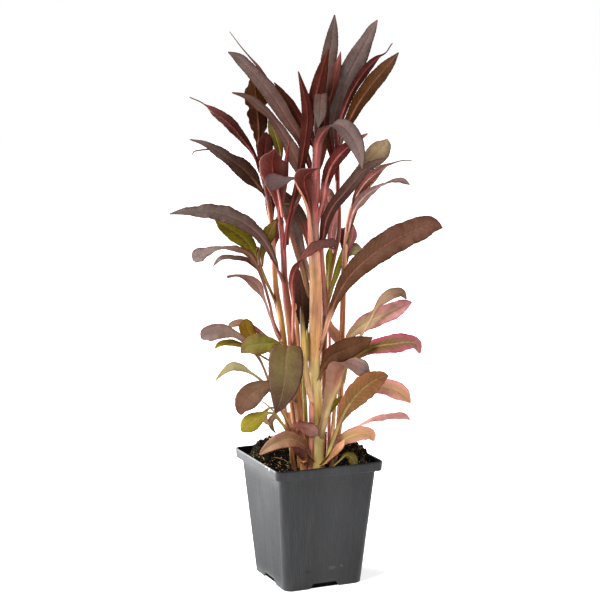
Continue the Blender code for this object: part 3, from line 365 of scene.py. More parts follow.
# Leaf stalks with no blade of their own in sight, from the compost up: ground, band, then points, each across, up,
# away, radius, and where the colours change on the way up
STALKS = {
    "stalk_green": ("stem_yellow", "moss", [
        (-12, 92, -17, 0.9), (-15, 119, -18, 0.8), (-20, 127, -18.5, 0.8), (-25, 134, -19, 0.8),
        (-31, 140, -19, 0.7), (-36, 144, -19, 0.6)]),
    "stalk_bud": ("stem_brown", "umber", [
        (-36.3, 248, -7, 0.9), (-37.2, 258, -7.2, 1.2), (-38, 266, -7.5, 1.0), (-40, 262, -8, 0.6)]),
    "stalk_pale": ("cream", "stem_glow", [
        (4.6, 140, -8, 2.2), (4.4, 144.5, -10, 2.6), (2.1, 153, -12, 2.6), (-1.0, 170, -12.5, 2.6),
        (-2, 187.5, -12, 2.4), (-2.8, 201, -11, 2.0), (-3.6, 212, -9, 1.4), (-4.6, 220, -7, 0.8)],
        (196, "honey", "stem_olive"), (208, "olive_tan", "sage"), (220, "bark", "umber")),
    "side_shoot": ("stem_glow", "stem_peach", [
        (2.6, 76, -12, 2.1), (3.6, 100, -13, 2.0), (4, 125, -12.5, 1.9), (4, 139, -12, 2.1),
        (3.6, 144.5, -11.5, 1.4)]),
    "stalk_peach": ("stem_peach", "stem_brown", [
        (-2, 80, 2, 2.4), (-3.5, 120, 2, 2.4), (-5.5, 160, 3, 2.2), (-7, 200, 4, 1.8), (-9, 235, 5, 1.4)]),
    "stalk_olive": ("stem_olive", "stem_brown", [
        (1, 78, -4, 2.0), (0, 110, -4, 2.0), (-1, 140, -4, 1.9), (-2.5, 165, -3, 1.5), (-3.5, 185, -2, 1.0)],
        (165, "stem_lime", "sage"), (185, "olive_tan", "bark")),
    "stalk_left": ("stem_peach", "stem_brown", [
        (-8, 78, -6, 1.8), (-12, 105, -8, 1.8), (-15.5, 125, -9, 1.7), (-18, 145, -10, 1.5),
        (-21, 165, -10, 1.0)]),
    "stalk_right": ("stem_sand", "stem_brown", [
        (19, 80, -12, 1.7), (20.5, 110, -12, 1.6), (22.5, 140, -11, 1.5), (24, 165, -9, 1.2)]),
    "stalk_back": ("stem_glow", "pale_pink", [
        (17, 80, 14, 1.8), (18, 120, 14, 1.7), (18.2, 160, 14, 1.5), (18, 200, 14, 1.2), (17, 216, 13, 0.8)]),
    "stalk_lime": ("stem_lime", "stem_yellow", [
        (-0.5, 168, -7, 0.9), (0.2, 180, -7, 1.6), (0.4, 192, -6, 1.4), (0.8, 202, -5, 0.6)]),
    "stalk_crossing": ("moss", "stem_umber", [
        (3.5, 226, 0, 2.2), (0.5, 236, -1, 2.3), (-2.6, 248, -1.5, 2.2), (-6.6, 259, -1.5, 2.0),
        (-10.5, 271.5, -1.5, 1.8), (-14.4, 284, -1.5, 1.5), (-18, 293.7, -1, 1.1), (-21, 302, 0, 0.6)],
        (244, "olive_tan", "stem_umber"), (256, "rose_brown", "stem_umber"), (290, "rose_brown", "stem_rose")),
    "fold_rib": ("stem_beige", "stem_rose", [
        (4, 262, -11.5, 2.0), (3.4, 272, -14.2, 2.2), (2.6, 283.5, -16.6, 1.6), (1.2, 295.3, -18.4, 1.25),
        (-1.4, 303.1, -19.6, 1.0), (-4.8, 310.2, -20.4, 0.8), (-7.8, 315.6, -20.6, 0.6),
        (-9.3, 319.3, -20.4, 0.35)]),
    "fold_rib_left": ("stem_rose", "pink", [
        (-18.8, 290, -14, 0.9), (-20.2, 300, -16.6, 0.9), (-21.6, 308, -17.4, 0.8), (-23, 316, -17.8, 0.6),
        (-23.6, 322, -17.8, 0.3)]),
    "stalk_node": ("stem_brown", "rose_tan", [
        (14.2, 212, 3, 1.8), (13.6, 235, -1, 1.9), (12.8, 250, -4.5, 1.9), (11.9, 262, -6, 1.7),
        (11.8, 276, -6, 1.6), (12.6, 290, -6, 1.4), (13, 302, -5, 1.1), (13.4, 316, -4, 0.7)],
        (258, "stem_brown", "stem_rose"), (270, "stem_rose", "stem_red")),
    "stalk_dark": ("stem_red", "dark_wine", [
        (-14.8, 268, -6, 1.2), (-13.4, 283, -6, 1.2), (-9.5, 296, -7, 1.2), (-5.2, 306, -8, 1.3),
        (-3.4, 312, -9, 1.0)]),
}

# A plain leaf's form. fold is the angle of each half, in degrees, curl how far the margins drop, wave how much
# they ripple, tooth how far the teeth stand out, mm, ragged how much of the margin is missing, edge how far the
# margin's colour spreads in, rib the midrib's width, stalk the share of the leaf that is stalk and keeps the first
# colour, shift how far the midrib lies to one side, and slim how much narrower the leaf's outer part is.
PLAIN_LEAF = {
    "fold": 15.0, "curl": 0.16, "wave": 0.1, "tooth": 0.34, "ragged": 0.0, "edge": 0.3, "rib": 1.0, "stalk": 0.0,
    "shift": 0.0, "slim": 0.0}
# Where a leaf's form differs from it. shade is painted shade: how much darker one half is than the other, which
# chance sets for the leaves that don't name it.
SHAPES = {
    "left_leaf_olive": {"ragged": 0.35, "wave": 0.12, "fold": 10},
    "folded_leaf_left": {"wave": 0.06, "fold": 6, "tooth": 0.5, "edge": 0.15, "curl": -0.1},
    "folded_leaf_middle": {"wave": 0.03, "fold": 4, "edge": 0.12, "curl": -0.05, "tooth": 0.15},
    "hanging_leaf": {"wave": 0.05, "curl": 0.12, "fold": 9, "edge": 0.55},
    "big_leaf_right": {"wave": 0.09, "curl": 0.2, "fold": 14, "stalk": 0.14},
    "long_leaf_left": {"wave": 0.14, "fold": 16, "stalk": 0.1},
    "low_leaf_pink": {"wave": 0.18, "edge": 0.35},
    "low_leaf_pink_edge": {"edge": 0.6, "rib": 1.2},
    "low_leaf_tan": {"edge": 1.0},
    "low_leaf_yellow": {"edge": 0.15},
    "folded_leaf_low": {"rib": 2.8, "edge": 0.15, "stalk": 0.42, "shift": 0.75},
    "arching_leaf": {"rib": 1.4, "stalk": 0.4},
    "right_leaf_mauve": {"rib": 1.5, "stalk": 0.28},
    "orange_leaf_right": {"rib": 1.3, "edge": 0.55},
    "low_leaf_olive_right": {"wave": 0.12, "ragged": 0.1, "rib": 1.6, "edge": 0.8, "stalk": 0.15},
    "low_leaf_left": {"wave": 0.07, "fold": 8},
    "front_leaf_crossing": {"fold": 20},
    "curled_thread": {"tooth": 0, "wave": 0, "fold": 25},
    "wilted_leaf": {"wave": 0.35, "ragged": 0.3, "tooth": 0.2},
    "wilted_scrap": {"wave": 0.4, "ragged": 0.35, "tooth": 0.2},
    "wilted_leaf_soil": {"wave": 0.35, "ragged": 0.3, "tooth": 0.2},
    "crossing_leaf_low": {"wave": 0.12},
    "left_leaf_grey": {"stalk": 0.2},
    "top_leaf": {"stalk": 0.12},
    "low_leaf_dark": {"stalk": 0.09},
    "left_leaf_narrow": {"slim": 0.6},
    "orange_leaf_front": {"rib": 0.7, "edge": 0.45, "stalk": 0.14, "shade": -0.3},
}

# Each stem's colours by height: its ground and the bands along it
STEM_LOOKS = {
    "stem_main": (
        (80, "stem_lime", "stem_yellow"), (97, "stem_cream", "stem_yellow"), (120, "stem_cream", "stem_yellow"),
        (138, "honey", "stem_yellow"), (152, "stem_cream", "stem_yellow"), (170, "stem_cream", "honey"),
        (182, "wheat", "stem_tan"), (196, "wheat", "wheat"), (209, "fawn", "wheat"), (216, "fawn", "fawn"),
        (240, "fawn", "wheat"), (252, "stem_beige", "wheat"), (262, "stem_beige", "dusty_rose"),
        (281, "rose_tan", "rose_light"), (291, "stalk_pink", "stalk_pink"), (302, "stem_rose", "stem_umber"),
        (345, "stem_red", "wine"), (380, "wine", "stem_red")),
    "stem_left": (
        (80, "stem_brown", "stem_peach"), (110, "stem_olive", "stem_brown"), (140, "stem_brown", "stem_umber"),
        (170, "stem_olive", "stem_umber"), (195, "stem_olive", "stem_brown"), (212, "stem_olive", "stem_sand"),
        (228, "stem_brown", "stem_umber"), (240, "stem_olive", "stem_brown"), (262, "stem_beige", "stem_pink"),
        (282, "stem_brown", "rose_light"), (294, "red_orange", "stem_brown"), (302, "stem_red", "umber"),
        (340, "wine", "stem_red")),
    "stem_left_front": (
        (80, "stem_peach", "stem_olive"), (130, "stem_brown", "stem_peach"), (142, "hazel", "stem_brown"),
        (165, "hazel", "stem_umber"), (196, "stem_umber", "stem_brown"), (208, "stem_umber", "stem_brown"),
        (218, "stem_umber", "red_orange"), (232, "stem_umber", "stem_red"), (262, "stem_rose", "plum"),
        (340, "plum", "wine")),
    "stem_right": (
        (80, "stem_peach", "stem_brown"), (180, "stem_brown", "stem_peach"), (196, "stem_brown", "stem_brown"),
        (212, "stem_umber", "stem_brown"), (240, "stem_brown", "stem_umber"), (262, "stem_beige", "stem_brown"),
        (275, "stem_beige", "stem_pink"), (290, "stem_glow", "stem_peach"), (310, "stem_glow", "stem_rose")),
    "stem_back": (
        (80, "stem_brown", "stem_peach"), (160, "stem_brown", "stem_peach"), (190, "stem_umber", "stem_brown"),
        (232, "stem_brown", "stem_umber"), (245, "hazel", "stem_brown"), (262, "stem_umber", "stem_red"),
        (283, "stem_red", "wine"), (300, "stem_red", "stem_rose"), (350, "stem_red", "wine")),
}

# Stems: colour, then points from the compost up, each across, up, away, radius
STEMS = {
    "stem_main": ("peach", [
        (8, 74, -8, 5.6), (8.3, 105, -8, 4.8), (8.3, 130, -7, 4.4), (7.4, 150, -6, 4.2), (6.4, 172, -6, 4.1),
        (7, 200, -5, 4.2), (7.5, 225, -5, 4.3), (7.2, 245, -5, 4.1), (6, 265, -5, 3.9), (5.6, 285, -5, 3.6),
        (6, 305, -4, 3.0), (7, 330, -4, 2.4), (7.5, 355, -3, 1.9), (8, 375, -3, 1.2)]),
    "stem_left": ("yellow_olive", [
        (-3, 74, 0, 2.6), (-6, 110, 1, 2.6), (-10, 135, 2, 2.6), (-13.5, 160, 3, 2.5), (-17, 185, 4, 2.5),
        (-20, 210, 4, 2.5), (-23.6, 232, 4, 2.3), (-25.2, 252, 4, 2.1), (-26.5, 272, 4, 2.1), (-28, 292, 4, 2.0),
        (-30.5, 308, 4, 1.9), (-34, 322, 4, 1.7), (-37, 334, 4, 1.3)]),
    "stem_left_front": ("rose", [
        (-1, 74, -13, 2.8), (-3.5, 110, -12, 2.8), (-6.5, 140, -11, 2.8), (-9, 165, -11, 2.9),
        (-11, 190, -11, 3.1), (-12.8, 207, -11, 3.1), (-15, 222, -11, 2.9), (-17, 240, -10, 2.4),
        (-17.8, 260, -10, 2.2), (-19.5, 280, -9, 2.0), (-21.3, 300, -8, 1.9), (-22.5, 320, -6, 1.6),
        (-22, 336, -5, 1.1)]),
    "stem_right": ("rose", [
        (19, 74, 0, 2.5), (23, 100, 1, 2.5), (26, 122, 3, 2.5), (27.3, 150, 4, 2.4), (28, 190, 5, 2.3),
        (28.8, 220, 5, 2.2), (29.5, 250, 5, 2.0), (31, 272, 5, 1.8), (33.5, 290, 4, 1.6), (37, 304, 3, 1.1)]),
    "stem_back": ("rose", [
        (11, 74, 7, 2.5), (13, 120, 8, 2.5), (14.3, 150, 9, 2.4), (13.8, 190, 9, 2.7), (15.2, 220, 9, 3.2),
        (17, 240, 9, 2.9), (21, 258, 9, 2.3), (24.8, 276, 9, 2.0), (25.4, 292, 9, 1.9), (24.4, 310, 9, 1.8),
        (24, 332, 9, 1.6), (22, 352, 9, 1.1)]),
}

# Leaves: the stem, the height where they leave it, a colour, then points from the stem to the tip, each across,
# up, away, width, facing. Facing is where the upper side looks: 0 to the front, 90 up, 180 to the back, so that
# the underside shows.
LEAVES = {
    # the top of the main stem
    "top_leaf": ("stem_main", 362, "mauve", [
        (12, 384, 6, 7, 0), (15.3, 402, 12, 11.5, 0), (18.6, 421, 16, 11.5, 0), (20.6, 436, 18, 6.5, 0),
        (21.5, 445.5, 18, 1, 0)]),
    "top_leaf_red": ("stem_main", 345, "burgundy", [
        (2.6, 364, -7.5, 5, 180), (5.4, 376, -7.2, 10, 175), (8.6, 388, -4, 12, 170), (11.6, 401, -1, 9.5, 170),
        (14.6, 412, 0, 5, 170), (16.7, 419.5, 0, 1, 170)]),
    "top_leaf_dark": ("stem_left_front", 262, "burgundy", [
        (-14.6, 285, -14, 3, 180), (-11.8, 298, -14, 3.6, 180), (-8.5, 311, -11.5, 4, 180),
        (-4.5, 328, -9.5, 5.5, 180), (-0.8, 350, -11, 9, 180), (1.0, 370, -12, 9.5, 180),
        (-1.4, 384, -12, 6.5, 180), (-4, 394, -11, 3.5, 180), (-6.3, 402.5, -10, 1, 180)]),
    "small_grey_leaf": ("stem_main", 369, "mauve", [
        (13.5, 378.5, -10, 5, 170), (11.6, 385, -16.5, 9, 95), (11, 380, -22, 10, 25), (10.5, 370, -23, 9.5, 5),
        (9, 359.5, -22, 1, 0)]),
    "left_leaf_grey": ("stem_main", 320, "mauve", [
        (0, 338, 1, 5, 0), (-6, 353, 4, 8, 0), (-14, 365, 6, 10.5, 5), (-23.5, 380, 8, 13, 10),
        (-34, 393.5, 8, 12, 12), (-44, 404.5, 7, 10, 15), (-53, 413, 6, 7.5, 20), (-60.3, 417.3, 5, 1, 20)]),
    "left_leaf_narrow": ("stem_main", 343, "pink", [
        (-2.5, 356, 9, 4, 50), (-13.5, 370, 13, 6, 60), (-27, 389, 15, 7, 65), (-37, 405.5, 15, 8, 60),
        (-43.5, 413, 15, 5, 60), (-51, 422, 14, 3, 60), (-59, 432.8, 13, 1, 60)]),
    "left_leaf_olive": ("stem_left", 331, "olive", [
        (-37, 345, 8, 4.5, 180), (-36.6, 356, 11, 11, 180), (-37.8, 370, 13, 16.5, 180),
        (-38.8, 383, 15, 18, 176), (-39.8, 391, 16, 15.5, 172), (-41, 395.5, 17, 10, 170),
        (-42, 398, 17.3, 1.5, 170)]),
    "crossing_leaf": ("stem_main", 308, "mauve", [
        (-2.5, 322, -4, 7, 10), (-8.5, 336, -3, 12, 12), (-15.5, 350, -2, 9, 30), (-22.5, 361, -1, 7.5, 45),
        (-30, 370, 0, 7.5, 52), (-38, 377.5, 0, 8.5, 35), (-46, 383, 0, 5, 20), (-57.5, 386.3, 0, 1, 20)]),
    "left_leaf_green": ("stem_left_front", 328, "green", [
        (-20.4, 339, -2, 4.5, 0), (-21.8, 346, 1, 8, 0), (-24.3, 354, 3.5, 9.5, 0), (-26.8, 361, 5, 6.5, 0),
        (-29, 367.5, 5.5, 1, 0)]),
    "left_leaf_red": ("stem_left", 325, "burgundy", [
        (-42, 341, 2, 4, 150), (-48.6, 350, 1.5, 7, 150), (-57, 360, 1, 10, 150), (-65.5, 367.8, 0, 9.5, 150),
        (-74, 373.5, -1, 6.5, 130), (-80, 378.3, -1, 1.6, 90), (-90, 382.8, -1, 0.9, 90)]),
    "left_leaf_wide": ("stem_left", 306, "mauve", [
        (-37, 313.5, 6.5, 5, 10), (-42.3, 320, 5, 12, 15), (-50, 328, 2, 14.5, 20), (-60, 335, 0, 10.5, 30),
        (-69, 341.3, -1, 9, 35), (-79, 346.8, -1, 5, 40), (-90.3, 350.2, -1, 1, 40)]),
    "folded_leaf_left": ("stem_left_front", 284, "burgundy", [
        (-21.3, 297, -13, 4.5, 180), (-22.4, 308, -15, 10.5, 180), (-24.6, 318, -16, 16, 178),
        (-26.2, 328, -16, 20.5, 170), (-26.3, 334.5, -15.5, 18.5, 160), (-25.2, 339.5, -15, 8, 155),
        (-24.8, 343, -15, 1, 150)]),
    "folded_leaf_middle": ("stem_main", 262, "burgundy", [
        (3.5, 278, -12.5, 3.6, 180), (3.3, 289, -14.5, 4, 180), (2.3, 299, -16.5, 5.5, 180),
        (0.6, 307.5, -18, 9, 178), (-1.4, 314.5, -19, 13, 172), (-1.2, 321.5, -19, 15.5, 160),
        (3.6, 325.8, -19.5, 7, 130), (10.3, 328.4, -21, 1, 110)]),
    "grey_tongue_leaf": ("stem_main", 297, "mauve", [
        (-1.5, 311, -9.5, 2.4, 20), (-6, 319.3, -12.3, 2, 20), (-11.5, 320, -15.8, 2.8, 20),
        (-18, 318.3, -20, 8, 15), (-25, 317.5, -22, 14, 15), (-30, 316.5, -22, 11, 15),
        (-31.8, 316, -22, 4, 15)]),
    "arching_leaf": ("stem_main", 294, "mauve", [
        (8, 312, -11, 5.2, 180), (8.2, 335, -13, 5.8, 180), (9.8, 350, -14, 7.5, 165), (15.3, 359, -16, 10, 105),
        (23, 362.3, -20, 13, 55), (30.3, 358.5, -23, 14.5, 30), (36.5, 350.5, -25, 13.5, 15),
        (41, 340, -26, 9, 5), (43.3, 327.5, -25, 1, 0)]),
    # the tip of the stem behind
    "right_leaf_grey": ("stem_back", 346, "mauve", [
        (21, 364, 12, 9, 0), (25, 380, 13, 13, 0), (31, 397, 13, 16, 0), (38.8, 412, 12, 16, 5),
        (46.5, 427, 10, 10, 10), (51.5, 437, 8, 5.5, 10), (54.3, 441.5, 7, 1, 0)]),
    "right_leaf_twisted": ("stem_back", 344, "burgundy", [
        (25.5, 362, 6, 4, 180), (29.4, 374, 6, 5.5, 172), (34.6, 386.5, 5, 6.5, 165), (41.6, 398, 4, 7.5, 160),
        (48.6, 407, 3, 7, 155), (54.5, 412.8, 0, 4.5, 130), (60, 416, -1, 2.5, 100), (66, 424, -1, 0.9, 60)]),
    "right_leaf_olive": ("stem_back", 336, "olive", [
        (28.5, 355, 4, 5, 180), (34, 366.5, 1, 8, 170), (40.3, 378.5, -2, 11, 165), (48, 389.5, -4, 13, 162),
        (56, 399.5, -5, 12.5, 162), (63.3, 407.7, -6, 9, 165), (70.8, 416.8, -7, 1, 165)]),
    "right_leaf_mauve": ("stem_main", 284, "burgundy", [
        (12.8, 302, -6, 4.2, 160), (15.4, 318, -6.6, 7.6, 165), (20.2, 331, -6, 10.5, 160),
        (27.3, 340, -6, 10.5, 160), (35, 347, -5, 7, 160), (42, 351.5, -5, 4, 160), (47.3, 354.7, -5, 1, 160)]),
    "right_leaf_tan": ("stem_back", 305, "tan", [
        (30, 314, 12, 4, 0), (38, 322, 13, 7, 0), (46, 330, 13, 11, 0), (53, 337.5, 12, 16.5, 5),
        (58.5, 343.5, 11, 15.5, 8), (61.5, 348, 10, 8.5, 10), (62.3, 350.8, 9.5, 1, 10)]),
    "right_leaf_dark": ("stem_main", 260, "dark", [
        (13, 274, -9, 5, 160), (15.8, 288, -10, 8, 165), (21.3, 299, -11, 9, 165), (28.8, 308, -12, 10, 165),
        (36.8, 317.5, -13, 10, 165), (44.5, 326.2, -14, 8.5, 160), (52, 331.8, -14, 6, 140),
        (62, 335.8, -14, 1, 120)]),
    "right_leaf_long": ("stem_right", 296, "burgundy", [
        (39.5, 307, 1, 6, 160), (45.5, 316.3, -1, 8.5, 160), (52.5, 323.3, -2, 8.5, 150),
        (59.5, 328.5, -3, 6, 130), (66.5, 331.7, -4, 3, 110), (74, 334, -4, 1.6, 100),
        (81.8, 334.3, -4, 0.9, 100)]),
    "right_leaf_curled": ("stem_right", 278, "pink", [
        (37, 295, -2, 5, 160), (42.5, 303.3, -5, 9, 155), (49, 309.3, -7, 8, 145), (57, 314, -8, 7, 110),
        (65, 317.3, -8, 7, 85), (73.5, 318.3, -8, 7.5, 55), (80.3, 315.3, -8, 1, 40)]),
    # the middle of the plant
    "long_leaf_left": ("stem_left_front", 238, "bronze", [
        (-25, 256, -20, 4.5, 50), (-33.5, 271.5, -22, 8.5, 40), (-43, 281.5, -22, 11.5, 35),
        (-56, 289, -21, 14, 35), (-72, 293.7, -19, 14, 35), (-86, 294.3, -17, 9.5, 35), (-98, 293.8, -15, 5, 35),
        (-106.5, 292.3, -14, 1, 35)]),
    "green_leaf_left": ("stem_left", 222, "green", [
        (-31, 238, 0, 2.6, 30), (-36.3, 250, -2, 3.6, 30), (-41.2, 262, -4, 7.5, 30), (-47.5, 271.3, -5, 13, 28),
        (-57, 278.7, -5, 15, 28), (-65.5, 284, -5, 10, 28), (-71.3, 288, -5, 1, 28)]),
    "spoon_leaf_left": ("stem_left", 194, "mauve", [
        (-24.5, 204, 1, 2.2, 30), (-29, 222, -2, 2.2, 40), (-33.6, 238, -5, 2.5, 50), (-39.5, 252, -9, 4, 55),
        (-46.5, 261.3, -11, 8, 60), (-56, 264.8, -12, 8, 66), (-68, 265.2, -13, 6, 68), (-78, 262.5, -13, 9, 45),
        (-85, 258.8, -13, 11.5, 30), (-87.8, 255, -13, 3, 30)]),
    "small_leaf_left": ("stem_left", 188, "burgundy", [
        (-23.5, 197, -5, 2, 20), (-29, 213, -8, 2, 20), (-34, 227, -11, 3, 20), (-39.5, 236.5, -12, 9, 30),
        (-46.5, 241.3, -12, 7, 50), (-54, 243.6, -12, 3.5, 60), (-62.3, 242.5, -12, 3, 50)]),
    "olive_leaf_left": ("stem_left_front", 290, "olive", [
        (-25.2, 285, -9, 4.4, 5), (-28.3, 279, -10, 10.5, 5), (-31.5, 271, -10, 8.5, 5), (-34.3, 261.5, -9, 4, 5),
        (-34.3, 251, -8, 1, 5)]),
    "front_leaf_crossing": ("stem_left_front", 190, "bronze", [
        (-10.6, 204, -17, 3, 180), (-10.3, 224, -17.5, 3, 180), (-11, 240, -18, 6, 165), (-7.5, 251, -19, 7, 120),
        (-0.5, 260, -19, 8, 60), (7.5, 266.3, -18.5, 10, 48), (15.5, 268.8, -18, 9.5, 45),
        (22, 269.3, -17, 7, 40), (25.3, 268.6, -17, 1, 40)]),
    "big_leaf_right": ("stem_main", 180, "bronze", [
        (14.5, 198, -9, 3.8, 60), (18.5, 212, -11, 5, 40), (24, 226.5, -13, 7.5, 30), (33, 242, -14, 13.5, 25),
        (46, 255.5, -15, 18, 25), (61, 267, -16, 21.5, 28), (76, 275.5, -16, 21.5, 28),
        (88, 280.5, -16, 19.5, 28), (98, 283.5, -16, 15, 28), (106.3, 281.5, -16, 1, 28)]),
    "dark_leaf_middle": ("stem_main", 236, "dark", [
        (-1.8, 256, 2, 5, 0), (-5.6, 270, 4, 7.5, 5), (-9.6, 284, 5, 10.5, 5), (-14, 296, 5, 10, 5),
        (-18.5, 306, 5, 6, 5), (-23, 315, 5, 1, 5)]),
    "dark_leaf_low": ("stem_main", 184, "dark", [
        (0, 198, 2, 4, 0), (-2.5, 212, 3, 10, 0), (-3.6, 228, 4, 12, 0), (-5.5, 242, 4, 7, 0),
        (-7.5, 251, 4, 1, 0)]),
    # the low leaves
    "low_leaf_round": ("stem_left", 112, "mauve", [
        (-18, 133, -2, 2.2, 30), (-29.5, 159, -6, 2.2, 30), (-37.5, 178, -10, 2.5, 30), (-47, 190.5, -11, 5, 30),
        (-57, 197.3, -11, 6.5, 30), (-65.5, 199.3, -11, 12, 30), (-74, 198.3, -11, 14, 30),
        (-80, 196, -11, 10, 30), (-82.4, 193.3, -11, 2.5, 30)]),
    "low_leaf_green": ("stem_left", 186, "green", [
        (-24, 190.3, -3, 4, 15), (-30.5, 190, -9, 13, 18), (-38.5, 189, -14, 17, 18),
        (-46.5, 186.8, -16, 12.5, 18), (-51.7, 182, -17, 1, 18)]),
    "low_leaf_ochre": ("stem_left", 176, "olive", [
        (-27, 182, 3, 2.5, 10), (-36, 190, 3, 4, 10), (-43, 196, 2, 9, 10), (-46.8, 201.5, 1, 12.5, 10),
        (-47.3, 206.5, 0, 9.5, 10), (-47.5, 209.5, 0, 2.5, 10)]),
    "low_leaf_pale": ("stem_left_front", 104, "green", [
        (-14, 126, -18, 1.9, 20), (-26, 148, -20, 1.9, 20), (-36.5, 160.8, -20, 2.2, 25),
        (-45.5, 167, -20, 3, 30), (-52, 170.3, -20, 6.5, 30), (-58, 171.3, -20, 7.5, 30),
        (-65, 167.2, -20, 4.5, 30), (-72, 160, -20, 1, 30)]),
    "low_leaf_left": ("stem_left_front", 142, "bronze", [
        (-16.5, 151, -22, 3.5, 40), (-26.5, 156, -26, 6.5, 25), (-36, 153.5, -29, 13.5, 20),
        (-43.5, 148.5, -31, 18, 15), (-49.3, 141.5, -33, 16, 10), (-51.6, 136, -34, 8.5, 5),
        (-51.8, 132.3, -34, 2, 5)]),
    "hanging_leaf": ("stem_left_front", 181, "olive", [
        (-12.5, 187.3, -21, 11, 92), (-14.3, 187, -27, 21, 80), (-15.7, 180, -33, 26, 40),
        (-16.5, 166, -36, 26.5, 18), (-19, 150, -37, 19.5, 10), (-22, 139.5, -37, 9.5, 5),
        (-24.3, 133.5, -37, 1.5, 5)]),
    "low_leaf_yellow": ("stem_left_front", 98, "green", [
        (-12, 111, -17, 1.9, 20), (-18, 123, -20, 1.9, 20), (-25.5, 133, -24, 1.9, 20),
        (-31.5, 133.3, -28, 3, 15), (-37, 130.3, -29, 9.5, 12), (-43, 126.5, -30, 14, 12),
        (-48.5, 122, -30, 10.5, 12), (-51.6, 118.8, -30, 2, 12)]),
    "orange_leaf_front": ("stem_main", 92, "orange", [
        (1, 103, -18, 4, 40), (-4.8, 109.5, -22, 9, 35), (-13, 112.5, -25, 14, 28), (-22, 110.3, -26, 12, 28),
        (-30.5, 105.6, -25, 8, 28), (-37, 99.8, -23, 1.5, 28)]),
    "low_leaf_dark": ("stem_main", 158, "dark", [
        (13.8, 171, -10, 7, 60), (19.5, 179.3, -11, 13.5, 30), (29, 184, -12, 17, 22), (39, 188.3, -13, 14.5, 22),
        (46.5, 191.5, -14, 9, 22), (52.3, 194.6, -14, 1, 22)]),
    "low_leaf_pink_edge": ("stem_right", 158, "tan", [
        (34.5, 175, 2, 3, 35), (41.5, 180.5, -2, 6, 32), (50, 185.5, -7, 10, 30), (60, 188.3, -9, 14, 30),
        (70, 189.5, -10, 16, 30), (79, 190.8, -11, 14, 30), (86.3, 189.5, -12, 9.5, 30),
        (89.8, 181.8, -12, 1.5, 30)]),
    "low_leaf_pink": ("stem_right", 184, "pink", [
        (36, 198, 2, 7, 25), (43.5, 204, 0, 12, 25), (53, 209.3, -2, 14.5, 25), (63, 213.5, -4, 14.5, 25),
        (72.5, 218, -6, 12.5, 25), (79, 221.5, -7, 7, 25), (83, 222.8, -7, 1, 25)]),
    "low_leaf_brown_curl": ("stem_right", 179, "olive", [
        (37.5, 188.5, -2, 2.2, 30), (44.3, 198, -6, 2.2, 30), (51, 210, -9, 2.5, 30), (55.5, 219, -11, 3.8, 30),
        (61, 225.5, -12, 8, 30), (68, 229.5, -12, 9, 30), (74.5, 230.3, -12, 7, 30), (78.6, 225.2, -12, 1, 30)]),
    "folded_leaf_low": ("stem_main", 112, "tan", [
        (13.8, 126, -16, 6.5, 180), (17, 142, -17, 8, 180), (21.5, 157, -19, 13.5, 178),
        (25, 169.5, -21, 16, 155), (30, 174.8, -25, 13, 90), (38, 172.8, -28, 13, 40), (45, 169, -30, 12.5, 20),
        (49.5, 165.5, -30, 3, 15)]),
    "low_leaf_olive_right": ("stem_main", 90, "olive", [
        (17.5, 101, -17, 3.6, 60), (22, 113, -20, 3.6, 40), (27.5, 128, -23, 5, 20), (33.7, 140, -27, 13, 15),
        (41, 149.5, -31, 19, 15), (48.5, 156.3, -34, 19.5, 15), (56.5, 161.3, -36, 13.5, 15),
        (61.8, 163.3, -37, 7.5, 15), (65, 163.7, -37, 1, 15)]),
    "low_leaf_tan": ("stem_right", 128, "tan", [
        (34, 140.5, 1, 3.8, 35), (43, 149.3, -1, 6.5, 30), (53, 154.3, -3, 10, 30), (62, 154.8, -5, 13.5, 30),
        (71, 152, -7, 15, 30), (78, 147.5, -8, 10.5, 30), (82.8, 141.8, -8, 1, 30)]),
    "low_leaf_thin_pink": ("stem_right", 102, "pink", [
        (34, 119, -4, 2.2, 50), (43.5, 124, -7, 2.4, 50), (53, 128.2, -9, 6, 62), (62, 130, -10, 8.5, 66),
        (71, 131.2, -11, 8.5, 62), (78.5, 130.6, -12, 6, 55), (82.6, 128, -12, 1, 50)]),
    "orange_leaf_right": ("stem_right", 92, "orange", [
        (24, 104, -14, 4, 30), (30.5, 112.5, -19, 9.5, 25), (38, 115.8, -21, 12, 25), (45.5, 117.3, -23, 11, 25),
        (51.3, 115.5, -24, 9, 25), (53.8, 111, -24, 1.5, 25)]),
    # the far side, which the front view hides
    "back_leaf_tall": ("stem_main", 330, "burgundy", [
        (10, 350, 14, 8, 0), (13, 368, 24, 12, 0), (14, 384, 33, 11, 0), (13, 396, 40, 1, 0)]),
    "back_leaf_left": ("stem_left", 286, "bronze", [
        (-28, 300, 16, 8, 0), (-25, 316, 30, 14, 0), (-21, 328, 44, 13, 20), (-18, 334, 58, 1, 50)]),
    "back_leaf_right": ("stem_back", 272, "bronze", [
        (22, 288, 22, 8, 0), (17, 302, 36, 14, 0), (12, 310, 50, 13, 30), (8, 311, 66, 1, 60)]),
    "back_leaf_low": ("stem_back", 150, "olive", [
        (12, 166, 22, 8, 0), (9, 182, 36, 14, 10), (7, 190, 50, 13, 50), (4, 188, 64, 1, 80)]),
}


def linear(name):
    """A named colour as the linear values that shaders take."""
    return tuple((c / 255 / 12.92) if c < 11 else ((c / 255 + 0.055) / 1.055) ** 2.4 for c in COLOURS[name])


def colours_at(places, stops, names):
    """The colours at these places, from those named for the stops."""
    colours = np.array([linear(name) for name in names])
    return np.column_stack([np.interp(places, stops, colours[:, k]) for k in range(3)])


# Places

def seen(across, up, away):
    """The true place, in the plant's own frame, of a point read in the front view."""
    nearer = 1 + away / EYE_AWAY
    return np.array([EYE_ACROSS + (across - EYE_ACROSS) * nearer, away, EYE_UP + (up - EYE_UP) * nearer])


